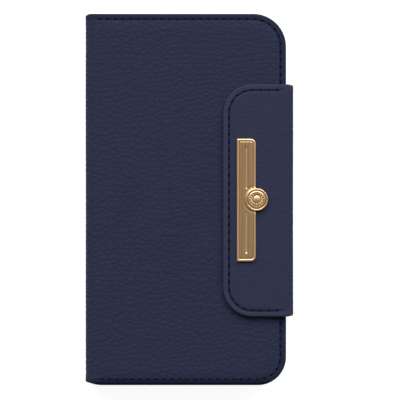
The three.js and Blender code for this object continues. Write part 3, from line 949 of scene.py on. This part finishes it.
def strap_tail():
    """The rest of the strap's leather. It gets thin where it is sewn in under the back."""
    outline = strap_outline(tail_line, TAIL_CORNER)
    seam = (STRAP_SEAM, NO_SEAM)
    skin = depth_over(tail_line, STRAP_SKIN, tail_high[Z] - tail_low[Z] - HEM_GAP)
    relief = leather_relief(tail_line, outline, seam, TAIL_PAD, STRAP_GRAIN, -1, 0.0)

    def depth(p, q):
        return skin(p, q) + RIM_REACH

    return shell(
        "strap_tail_leather_sheet", tail_line, outline, strap_leather, skin, depth, relief,
        edge=TAIL_ROUND, hem=TAIL_HEM, spacing=PLAIN, seam=seam,
    )


front_leather = front_cover()
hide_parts("front_leather", "spine_leather")
fold_over(front_leather, front_line)

back_leather = back_cover()
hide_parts("back_leather", "spine_leather")
fold_over(back_leather, back_line)

tongue_leather = strap_tongue()
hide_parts("tongue_leather", "strap_side_leather")
fold_over(tongue_leather, tongue_line)

tail_leather = strap_tail()
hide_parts("strap_tail_leather", "strap_side_leather")
fold_over(tail_leather, tail_line)

# ---- Linings -------------------------------------------------------------------------------------------

LINING_INSET = 0.9
LINING_ROUND = 0.12
LINING_HEM = 0.3
front_lining_line = Bend(
    spine_lining_low[X], spine_middle, front_lining_high[Z], front_high[X] - LINING_INSET, LINING_TURN
)
back_lining_line = Bend(
    spine_lining_low[X], spine_middle, back_lining_low[Z], back_high[X] - LINING_INSET, LINING_TURN
)
tongue_lining_line = Bend(
    side_lining_high[X], side_middle, tongue_lining_high[Z], tongue_low[X] + LINING_INSET, STRAP_LINING_TURN
)
tail_lining_line = Bend(
    side_lining_high[X], side_middle, tail_lining_low[Z], tail_lining_low[X], TAIL_LINING_TURN
)


def lining_sheet(name, line, low, high, radii, thickness):
    """A thin lining. The board's side of it is its outer face."""
    outline = Outline(line.length, low + LINING_INSET, high - LINING_INSET, *radii)
    inside = even(thickness)
    return shell(name, line, outline, lining, inside, inside, edge=LINING_ROUND, hem=LINING_HEM)


cover_radii = (BOTTOM_CORNER - LINING_INSET, TOP_CORNER - LINING_INSET)
strap_radii = (STRAP_CORNER - LINING_INSET,) * 2
for name, line, low, high, radii, thickness, nodes, parent, child in (
    ("front_lining_sheet", front_lining_line, cover_low, cover_high, cover_radii, 0.38,
     ("front_lining", "spine_lining"), "spine", "front"),
    ("back_lining_sheet", back_lining_line, cover_low, cover_high, cover_radii, 0.48,
     ("back_lining", "spine_lining"), "back", "spine"),
    ("tongue_lining_sheet", tongue_lining_line, strap_low, strap_high, strap_radii, 0.48,
     ("tongue_lining", "strap_side_lining"), "strap_side", "strap_tongue"),
    ("tail_lining_sheet", tail_lining_line, strap_low, strap_high, (TAIL_CORNER,) * 2, 0.42,
     ("strap_tail_lining", "strap_side_lining"), "back", "strap_side"),
):
    piece = lining_sheet(name, line, low, high, radii, thickness)
    if name == "back_lining_sheet":
        cut_window(piece, back_lining_low[Z] - 0.5, back_lining_high[Z] + 0.5)
    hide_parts(*nodes)
    fold_over(piece, line)

# ---- Stitches ------------------------------------------------------------------------------------------

THREAD_WIDTH = 0.5
THREAD_HEIGHT = 0.42
STITCH_RINGS = 9
STITCH_SIDES = 8
STITCH_SHARE = 0.76  # of the pitch
STITCH_SLANT = 0.12  # how far it lies across the seam
COVER_STITCH = (cover_outline, COVER_SEAM, COVER_PITCH)
STRAP_STITCH = (strap_outline, STRAP_SEAM, STRAP_PITCH)
SIDE_SEAM = (0.3, 0.2)  # how far a seam on the strap's side starts and stops inside its leg
SUNK = (0.06, 0.02, 0.04)  # how far front, back and tongue stitches lie below their border
SIDE_SUNK = 0.18
INNER_LEVEL = 0.08  # how far the back's inner seam stands out of its lining, and the tongue's is let in


def stitches(name, line, outline, inset, pitch, limits, level):
    """Separate stitches along a seam. level(p, q) is the height of the groove that they lie in."""
    points, faces, places = [], [], []
    low, high = limits
    for number in range(math.ceil(low / pitch), math.floor(high / pitch)):
        start = len(points)
        for ring in range(STITCH_RINGS):
            t = ring / (STITCH_RINGS - 1)
            along = (number + 0.5 + (t - 0.5) * STITCH_SHARE) * pitch
            p, q, out_p, out_q = outline.seam_point(along, inset)
            hump = 1 - abs(2 * t - 1) ** 3
            girth = 0.35 + 0.65 * math.sqrt(hump)
            for side in range(STITCH_SIDES):
                angle = 2 * math.pi * side / STITCH_SIDES
                beside = THREAD_WIDTH / 2 * girth * math.cos(angle) + STITCH_SLANT * (t - 0.5)
                height = level(p, q) + THREAD_HEIGHT / 2 * (girth * math.sin(angle) + 1.2 * (hump - 1))
                place = line.place(np.array(p + out_p * beside), np.array(q + out_q * beside), height)
                points.append(place)
                places.append((along, angle, 0.0))
        rings = [start + ring * STITCH_SIDES for ring in range(STITCH_RINGS)]
        for ring, following in zip(rings, rings[1:]):
            faces += band(ring, following, STITCH_SIDES)
        faces.append(list(range(start, start + STITCH_SIDES)))
        faces.append(list(range(rings[-1], rings[-1] + STITCH_SIDES)))
    return mesh_object(name, points, faces, thread, places)


def place_stitches(piece, body, *nodes):
    """Seams move with their body, and some stand for a CAD node."""
    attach(piece, body)
    if nodes:
        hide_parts(*nodes)


def sew(name, line, kind, stop_p, level, body, *nodes):
    """The seam round a sheet's free edges, which stops at p = stop_p on both of its sides."""
    cut, inset, pitch = kind
    outline = cut(line)
    limits = (-outline.seam_length(inset, stop_p, -1), outline.seam_length(inset, stop_p, 1))
    place_stitches(stitches(name, line, outline, inset, pitch, limits, level), body, *nodes)


def sew_side(name, line, radius):
    """The two short seams on the strap's side, along its top and bottom edges."""
    outline = strap_outline(line, radius)
    span = (SIDE_SEAM[0], line.leg - SIDE_SEAM[1])
    for side, label in ((1, "upper"), (-1, "lower")):
        limits = sorted(side * outline.seam_length(STRAP_SEAM, p, side) for p in span)
        piece = stitches(
            f"{name}_{label}", line, outline, STRAP_SEAM, STRAP_PITCH, limits, even(-SIDE_SUNK)
        )
        place_stitches(piece, "strap_side")


inner_line = Flat(back_low[X], back_high[X], back_lining_high[Z])
tongue_inner_line = Flat(side_high[X], tongue_low[X], tongue_lining_low[Z], -1.0)
front_level, back_level, tongue_level = (
    even(-pad[0] - sunk) for pad, sunk in zip((FRONT_PAD, BACK_PAD, STRAP_PAD), SUNK)
)

sew("front_cover_stitches", front_line, COVER_STITCH, front_line.face + COVER_SEAM_GAP, front_level,
    "front", "front_stitching")
sew("back_cover_stitches", back_line, COVER_STITCH, back_line.face + COVER_SEAM_GAP, back_level, "back")
sew("tongue_stitches", tongue_line, STRAP_STITCH, tongue_line.face + STRAP_SEAM_GAP, tongue_level,
    "strap_tongue", "tongue_stitching")
sew("back_inner_stitches", inner_line, COVER_STITCH, INNER_SEAM_START, even(INNER_LEVEL),
    "back", "back_stitching")
sew_side("strap_side_stitches", tongue_line, STRAP_CORNER)
sew_side("strap_lower_side_stitches", tail_line, TAIL_CORNER)
sew("tongue_inner_stitches", tongue_inner_line, STRAP_STITCH, STRAP_TURN + STRAP_SEAM_GAP, even(-INNER_LEVEL),
    "strap_tongue")

# ---- Card pockets --------------------------------------------------------------------------------------

POCKET_ROUND = 0.15  # radius of its edges
POCKET_HEM = 0.3
POCKET_SHEET = 0.38  # its thickness
POCKET_INSET = 0.4  # how much smaller its corners are than the cover's
POCKET_GAP = 0.05  # between the lining and the first pocket, at their sewn edges
POCKET_SLOPE = (1.5, 6.0)  # a pocket comes away from its sewn edge between these distances from it
POCKET_ROLL = (0.9, 0.12)  # width and depth of the round of its mouth
POCKET_LINE = (1.6, 0.4, 0.06)  # distance from the mouth, half width and depth of the line pressed along it
BOUND_STEP = 0.42  # sewn together at their edges, the pockets lie this far apart
THUMB_DEPTH = 3.2
THUMB_HALF = 7.6
THUMB_FADE = 25.0  # how far into the pocket the notch's shape is still felt
pocket_names = ("cash_pocket", "card_pocket_1", "card_pocket_2", "card_pocket_3")


def pocket_sheet(order, node):
    """One pocket: its mouth has a thumb notch and a pressed line, and its edges are sewn down flat."""
    low, high = box_mm(node)
    line = Flat(low[X], high[X], low[Z], -1.0)
    radii = (BOTTOM_CORNER - POCKET_INSET, TOP_CORNER - POCKET_INSET)
    outline = Outline(line.length, low[Y], high[Y], *radii)
    bound_z = front_lining_low[Z] - POCKET_GAP - (order + 1) * BOUND_STEP

    def lift(p, q):
        distance, _ = outline.measure(p, q, COVER_SEAM)
        return (bound_z - low[Z]) * (1 - smooth(*POCKET_SLOPE, distance))

    def relief(p, q):
        roll_width, roll_depth = POCKET_ROLL
        roll = roll_depth * smooth(0.0, roll_width, roll_width - p)
        line_place, line_width, line_depth = POCKET_LINE
        pressed = line_depth * np.exp(-(((p - line_place) / line_width) ** 2))
        return -roll - pressed - lift(p, q), 0 * p + 1

    def notch(p, q):
        inward = np.clip(1 - (q / THUMB_HALF) ** 2, 0, 1) ** 0.75 * THUMB_DEPTH
        return p + inward * np.clip(1 - p / THUMB_FADE, 0, 1), q

    def depth(p, q):
        return POCKET_SHEET + lift(p, q)

    piece = shell(
        node + "_sheet", line, outline, pocket_leather, depth, depth, relief,
        edge=POCKET_ROUND, hem=POCKET_HEM, spacing=PLAIN, shape=notch,
    )
    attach(piece, "front")
    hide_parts(node)


for order, node in enumerate(pocket_names):
    pocket_sheet(order, node)

pocket_mouths = [box_mm(node)[0][X] - back_low[X] for node in pocket_names]
pocket_line = Flat(back_low[X], back_high[X], front_lining_low[Z], -1.0)


def pocket_level(p, q):
    """The seam through the pockets stands higher by a step for each pocket that it runs over."""
    return INNER_LEVEL + BOUND_STEP * sum(p > mouth for mouth in pocket_mouths)


sew("pocket_stitches", pocket_line, COVER_STITCH, INNER_SEAM_START, pocket_level, "front")

# ---- Padding -------------------------------------------------------------------------------------------

FOAM_SHEET = 0.58
FOAM_SPACING = 1.5
FOAM_ROUND = 0.1
FOAM_HEM = 0.25
FOAM_CELL = (1.5, 1.5)
FOAM_CELL_DEPTH = 0.04
FOAM_EDGE = (4.0, 0.3)  # the pad thins out over this width at its edge, by this much
FOAM_CORNER_INSET = 4.0

foam_line = Flat(foam_low[X], foam_high[X], foam_high[Z])
foam_radii = (BOTTOM_CORNER - FOAM_CORNER_INSET, TOP_CORNER - FOAM_CORNER_INSET)
foam_outline = Outline(foam_line.length, foam_low[Y], foam_high[Y], *foam_radii)


def foam_relief(p, q):
    """The pad thins out towards its edge, and its face is unevenly open-celled."""
    distance, _ = foam_outline.measure(p, q, COVER_SEAM)
    width, thinned = FOAM_EDGE
    height = -thinned * (1 - smooth(0.0, width, distance)) - FOAM_CELL_DEPTH * pebbles(p, q, FOAM_CELL)
    return height, 0 * p + 1


foam_pad = shell(
    "front_foam_pad", foam_line, foam_outline, foam, even(FOAM_SHEET), even(FOAM_SHEET), foam_relief,
    edge=FOAM_ROUND, hem=FOAM_HEM, spacing=FOAM_SPACING,
)
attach(foam_pad, "front")
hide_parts("front_foam")

# ---- CAD parts that keep their shape -------------------------------------------------------------------

SHARP = math.radians(35)  # a steeper edge than this is bevelled and shaded as an edge
washers = ("rivet_washer_upper", "rivet_washer_lower", "rivet_washer_middle")


def finish_node(name, material, bevel=0.0, segments=3):
    """Gives a CAD node its material, and rounds its edges a little."""
    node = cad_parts[name]
    node.data.materials.clear()
    node.data.materials.append(material)
    if bevel:
        flat = node.modifiers.new("flat_faces", "DECIMATE")
        flat.decimate_type = "DISSOLVE"
        flat.angle_limit = math.radians(1)
        edge = node.modifiers.new("soft_edges", "BEVEL")
        edge.width = bevel * MM
        edge.segments = segments
        edge.limit_method = "ANGLE"
        edge.angle_limit = SHARP
        edge.harden_normals = True
    node.data.shade_smooth()
    node.data.set_sharp_from_angle(angle=SHARP)


finish_node("phone_tray", tpu, 0.35)
for name in ("back_board", "spine_board", "front_board", "tongue_board"):
    finish_node(name, board)
for name in ("cover_magnet_upper", "cover_magnet_lower", "strap_magnet_upper", "strap_magnet_lower"):
    finish_node(name, steel, 0.12, 2)
for name in washers:
    finish_node(name, steel, 0.05, 2)

# ---- Ornament ------------------------------------------------------------------------------------------

PLATE_GAP = 0.05  # between the strap's leather and the bar
PLATE_BACK = tongue_high[Z] + PLATE_GAP
PLATE_WIDTH = 8.1
PLATE_CORNERS = (0.35, 2.2)  # the radii of its left and right corners
PLATE_RIM = (1.15, 0.34)  # width and height
RIM_GROOVE = (0.2, 0.1)  # half width and depth of the groove at the rim's foot
PLATE_FIELD = 0.68  # height of its field over its back
FLUTE = (0.42, 0.26)  # half width and depth of the two channels in its field
FLUTE_ENDS = (5.2, 22.1)  # where each channel starts and ends, from the bar's middle
BEZEL_RING = 0.4  # half its width, which is also its height
BEZEL_STEP = 1.08  # height of the bezel's foot over the plate's back
BEZEL_FLOOR = 0.5  # and of the floor inside it
BEZEL_FOOT = (0.35, 0.2)  # width and height of the slope round it
BEZEL_LINE = (0.95, 0.16, 0.06)  # the distance, half width and depth of the fine line round it
POST_RADIUS = 0.75
POST_SIDES = 20
POST_ROOT = 0.1  # how far a post reaches into the plate

PLATE_STEP = 0.2  # spacing of the points on the plate's outline and field
LOOP_STEP = 0.11  # of the loops along its rim
CIRCLE_STEP = 0.085  # and of the circles in its bezel
CLEAR = 0.06  # how far points keep from the outline
LOOPS_PAST_RIM = 0.3
GRID_PAST_RIM = 0.4
GRID_FROM_BEZEL = 0.5
BEZEL_CIRCLES = (0.95, 0.02)  # the circles inside the bezel's edge lie between these distances from it
FIELD_CIRCLES = (0.02, 0.12, 0.24, 0.38, 0.8, 0.95, 1.1)  # and those outside it at these

plate_mid = (plate_low[X] + PLATE_WIDTH / 2, (plate_low[Y] + plate_high[Y]) / 2)
badge_mid = ((badge_low[X] + badge_high[X]) / 2, (badge_low[Y] + badge_high[Y]) / 2)
bezel_radius = plate_high[X] - badge_mid[0]
plate_half = (PLATE_WIDTH / 2, (plate_high[Y] - plate_low[Y]) / 2)


def half_round(offset, half_width):
    """The height, from 0 to 1, of a half-round bead."""
    return np.sqrt(np.clip(1 - (offset / half_width) ** 2, 0, 1))


def plate_height(x, y):
    """Height of the plate's front over its back."""
    side = x - plate_mid[0]
    radius = np.where(side < 0, *PLATE_CORNERS)
    over_x = np.abs(side) - plate_half[0] + radius
    over_y = np.abs(y - plate_mid[1]) - plate_half[1] + radius
    outside = np.hypot(np.maximum(over_x, 0), np.maximum(over_y, 0))
    depth = radius - outside - np.minimum(np.maximum(over_x, over_y), 0)
    rim_width, rim_height = PLATE_RIM
    height = PLATE_FIELD + rim_height * half_round(depth - rim_width / 2, rim_width / 2)
    height -= RIM_GROOVE[1] * np.exp(-(((depth - rim_width) / RIM_GROOVE[0]) ** 2))
    along_flute = np.clip(np.abs(y - plate_mid[1]), *FLUTE_ENDS)
    from_flute = np.hypot(side, np.abs(y - plate_mid[1]) - along_flute)
    height -= FLUTE[1] * half_round(from_flute, FLUTE[0])
    from_bezel = np.hypot(x - badge_mid[0], y - badge_mid[1])
    foot_width, foot_height = BEZEL_FOOT
    height += foot_height * (1 - smooth(bezel_radius, bezel_radius + foot_width, from_bezel))
    line_distance, line_width, line_depth = BEZEL_LINE
    height -= line_depth * np.exp(-(((from_bezel - bezel_radius - line_distance) / line_width) ** 2))
    ring = BEZEL_STEP + BEZEL_RING * half_round(from_bezel - bezel_radius + BEZEL_RING, BEZEL_RING)
    bezel = np.where(from_bezel < bezel_radius - 2 * BEZEL_RING, BEZEL_FLOOR, ring)
    return np.where(from_bezel < bezel_radius, bezel, height)


def arc(centre, radius, start, end):
    """Points along an arc, a step apart, with both of its ends."""
    count = max(3, math.ceil(abs(end - start) * radius / PLATE_STEP))
    angles = np.linspace(start, end, count + 1)
    return np.stack([centre[0] + radius * np.cos(angles), centre[1] + radius * np.sin(angles)], -1)


def straight(start, end):
    """Points along a straight line, a step apart, without its ends."""
    count = max(2, math.ceil(math.dist(start, end) / PLATE_STEP))
    return np.linspace(start, end, count + 1)[1:-1]


def plate_loop(inset):
    """The plate's outline, moved inwards: a bar with a round bezel on its right side."""
    left, right = plate_low[X] + inset, plate_low[X] + PLATE_WIDTH - inset
    low, high = plate_low[Y] + inset, plate_high[Y] - inset
    square, soft = (max(radius - inset, 0.02) for radius in PLATE_CORNERS)
    reach = bezel_radius - inset
    meet = math.acos((right - badge_mid[0]) / reach)
    corners = [
        arc((left + square, low + square), square, -2 * RIGHT_ANGLE, -RIGHT_ANGLE),
        arc((right - soft, low + soft), soft, -RIGHT_ANGLE, 0),
        arc(badge_mid, reach, -meet, meet),
        arc((right - soft, high - soft), soft, 0, RIGHT_ANGLE),
        arc((left + square, high - square), square, RIGHT_ANGLE, 2 * RIGHT_ANGLE),
    ]
    parts = []
    for corner, following in zip(corners, corners[1:] + corners[:1]):
        parts += [corner, straight(corner[-1], following[0])]
    return np.concatenate(parts)


def circle(centre, radius, count):
    """Points round a circle."""
    angles = np.linspace(0, 2 * math.pi, count, endpoint=False)
    return np.stack([centre[0] + radius * np.cos(angles), centre[1] + radius * np.sin(angles)], -1)


def plate_points():
    """Places inside the outline: loops that follow the rim and the bezel, and a grid over the field."""
    rim_width = PLATE_RIM[0]
    insets = np.arange(CLEAR, rim_width + LOOPS_PAST_RIM, LOOP_STEP)
    loops = np.concatenate([plate_loop(inset) for inset in insets])
    inner, outer = (bezel_radius - distance for distance in BEZEL_CIRCLES)
    radii = [*np.arange(inner, outer, CIRCLE_STEP), *(bezel_radius + step for step in FIELD_CIRCLES)]
    circles = np.concatenate([arc(badge_mid, radius, 0, 4 * RIGHT_ANGLE)[1:] for radius in radii])
    right = plate_low[X] + PLATE_WIDTH
    rows, columns = (
        np.arange(low + rim_width + GRID_PAST_RIM, high - rim_width - LOOPS_PAST_RIM, PLATE_STEP)
        for low, high in ((plate_low[X], right), (plate_low[Y], plate_high[Y]))
    )
    grid = np.stack(np.meshgrid(rows, columns), -1).reshape(-1, 2)

    def from_bezel(points):
        return np.hypot(points[:, 0] - badge_mid[0], points[:, 1] - badge_mid[1])

    loops = loops[from_bezel(loops) > bezel_radius + CLEAR]
    grid = grid[from_bezel(grid) > bezel_radius + GRID_FROM_BEZEL]
    in_bezel = from_bezel(circles) < bezel_radius
    in_bar = circles[:, 0] < right - CLEAR
    return np.concatenate([loops, grid, circles[in_bezel | in_bar]])


def ornament_plate():
    """The bar: a relief over its outline, with walls, a flat back and three posts."""
    edge = plate_loop(0.0)
    flat = np.concatenate([edge, plate_points()])
    count = len(edge)
    loop = [(k, (k + 1) % count) for k in range(count)]
    found, _, faces, origins, _, _ = delaunay_2d_cdt([Vector(point) for point in flat], loop, [], 1, 1e-5)
    flat = np.array([tuple(point) for point in found])
    points = np.column_stack([flat, PLATE_BACK + plate_height(flat[:, 0], flat[:, 1])])
    at = {origin: index for index, inputs in enumerate(origins) for origin in inputs if origin < count}
    upper = [at[k] for k in range(count)]
    lower = [len(points) + k for k in range(count)]
    walls = [[upper[a], upper[b], lower[b], lower[a]] for a, b in loop]
    points = np.concatenate([points, np.column_stack([edge, np.full(count, PLATE_BACK)])])
    faces = [list(face) for face in faces] + walls + [lower]
    for washer in washers:
        low, high = box_mm(washer)
        middle = (low + high) / 2
        ring = circle(middle, POST_RADIUS, POST_SIDES)
        post, post_faces = prism(ring, plate_low[Z], PLATE_BACK + POST_ROOT, len(points))
        points = np.concatenate([points, post])
        faces += post_faces
    gold = gold_material("gold_plate", PLATE_BACK + PLATE_FIELD)
    return mesh_object("ornament_bar", points, faces, gold)


BADGE_DOME = 1.75  # the dome's radius
BADGE_SUNK = 0.42  # and its height
BADGE_RIM = 0.62  # the rim's width, from its crest outwards
BADGE_CREST = 0.1  # how far the rim's crest lies under the dome's
BADGE_FALL = 0.3  # how far the rim falls away outwards
BADGE_SIDES = 128
BADGE_FLUTES = 16
FLUTE_RING = (2.4, 0.62, 0.13)  # the radius of the flutes' ring, their half length and their height


def badge_height(r, angle, radius):
    """Height of the medallion against its highest point: a dome in a ring of flutes, inside a rim."""
    rim = -BADGE_CREST - BADGE_FALL * (1 - half_round(np.maximum(r - radius + BADGE_RIM, 0), BADGE_RIM))
    ring_radius, half_length, flute_height = FLUTE_RING
    flute = flute_height * np.abs(np.cos(angle * BADGE_FLUTES / 2)) * half_round(r - ring_radius, half_length)
    floor = -BADGE_SUNK - BADGE_CREST
    field = flute + floor
    dome = -BADGE_SUNK * (1 - half_round(r, BADGE_DOME))
    inner_edge = smooth(radius - BADGE_RIM - 0.16, radius - BADGE_RIM, r)
    height = field + (rim - field) * inner_edge
    return np.where(r < BADGE_DOME, np.maximum(dome, floor), height)


def ornament_badge():
    """The medallion: rings of points from its middle to its rim, down a wall, and a flat back."""
    radius = (badge_high[X] - badge_low[X]) / 2
    count = BADGE_SIDES
    angles = np.linspace(0, 2 * math.pi, count, endpoint=False)
    reaches = np.concatenate([
        np.linspace(0.1, BADGE_DOME, 12),
        np.linspace(BADGE_DOME + 0.04, radius - BADGE_RIM - 0.17, 8),
        np.linspace(radius - BADGE_RIM - 0.12, radius, 14),
    ])
    reach, angle = np.meshgrid(reaches, angles, indexing="ij")
    tops = badge_high[Z] + badge_height(reach, angle, radius)
    rings = [np.stack([r * np.cos(a), r * np.sin(a), z], -1) for r, a, z in zip(reach, angle, tops)]
    rings.append(rings[-1] * (1, 1, 0) + (0, 0, badge_low[Z]))
    points = np.concatenate([[(0, 0, badge_high[Z])], *rings]) + (*badge_mid, 0)
    faces = [[0, 1 + k, 1 + (k + 1) % count] for k in range(count)]
    firsts = [1 + ring * count for ring in range(len(rings))]
    for first, second in zip(firsts, firsts[1:]):
        faces += band(first, second, count)
    last = firsts[-1]
    faces.append([last + k for k in range(count)])
    gold = gold_material("gold_medallion", badge_high[Z] - BADGE_SUNK)
    return mesh_object("ornament_button", points, faces, gold)


for piece, node in ((ornament_plate(), "ornament_plate"), (ornament_badge(), "ornament_medallion")):
    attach(piece, "strap_tongue")
    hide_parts(node)

# ---- Studio --------------------------------------------------------------------------------------------

VIEW_WIDTH = 170.05  # width of the picture at the front cover
VIEW_CENTRE = (4.58, -0.21)
CAMERA_DISTANCE = 1500.0
SENSOR = 36.0

KEY_PLACE = (0.0, 2.2, 2.1)  # in metres, as are the key light's other sizes
KEY_TARGET = (0, 0, 0.01)
KEY_SIZE = (4.8, 2.4)
KEY_POWER = 171.0
KEY_TINT = (1.0, 0.95, 0.91)

TENT_UPWARDS = (0.25, 0.8, 0.8, 0.52)  # between two heights, the tent's strength eases from one to another
TENT_ALONG_Y = (-0.3, 0.9, 0.42, 1.0)  # the same along Y, from the bottom edge's side to the top's

FLOOR_HALF = 1500.0
FLOOR_DROP = 0.02  # how far the floor lies under the case
FLOOR_GREYS = (0.34, 0.37)
FLOOR_GLOW = 0.88


def add_camera():
    """A camera far above the case that looks straight down, with the top edge upwards."""
    data = bpy.data.cameras.new("camera")
    data.sensor_width = SENSOR
    data.lens = SENSOR * CAMERA_DISTANCE / VIEW_WIDTH
    data.clip_start = 0.05
    camera = bpy.data.objects.new("camera", data)
    camera.location = Vector((*VIEW_CENTRE, front_high[Z] + CAMERA_DISTANCE)) * MM
    bpy.context.scene.collection.objects.link(camera)
    bpy.context.scene.camera = camera


def add_key_light():
    """A large soft rectangle above the top edge, which faces the case."""
    data = bpy.data.lights.new("key", "AREA")
    data.shape = "RECTANGLE"
    data.size, data.size_y = KEY_SIZE
    data.energy = KEY_POWER
    data.color = KEY_TINT
    light = bpy.data.objects.new("key", data)
    light.location = KEY_PLACE
    light.rotation_euler = (Vector(KEY_TARGET) - Vector(KEY_PLACE)).to_track_quat("-Z", "Y").to_euler()
    bpy.context.scene.collection.objects.link(light)


def add_world():
    """A light tent: brightest round its sides behind the top edge, and dimmer overhead and towards the
    bottom edge."""
    graph = Graph(bpy.data.worlds.new("studio"))
    direction = graph.parts(graph.node("ShaderNodeTexCoord").outputs["Generated"])
    upwards = graph.ease(direction[Z], *TENT_UPWARDS)
    along_y = graph.ease(direction[Y], *TENT_ALONG_Y)
    background = graph.tree.nodes["Background"]
    graph.put(background.inputs["Strength"], graph.math("MULTIPLY", upwards, along_y))
    graph.put(background.inputs["Color"], (1, 1, 1, 1))
    bpy.context.scene.world = graph.made


def add_floor():
    """A pale floor that glows a little, like a light table, so that no shadow shows on it."""
    graph = Graph(bpy.data.materials.new("pale_floor"))
    mottle = graph.noise(graph.object_place(), 60.0, 3.0)
    greys = [(grey, grey, grey, 1) for grey in FLOOR_GREYS]
    tone = graph.mix(graph.ease(mottle, 0.3, 0.7), *greys)
    graph.set(Base_Color=tone, Roughness=0.8, Emission_Color=(1, 1, 1, 1), Emission_Strength=FLOOR_GLOW)
    half = FLOOR_HALF
    corners = [(-half, -half, 0), (half, -half, 0), (half, half, 0), (-half, half, 0)]
    floor = mesh_object("floor", corners, [[0, 1, 2, 3]], graph.made)
    floor.location.z = -FLOOR_DROP * MM


bpy.context.scene.view_settings.view_transform = "Standard"
add_camera()
add_world()
add_key_light()
add_floor()
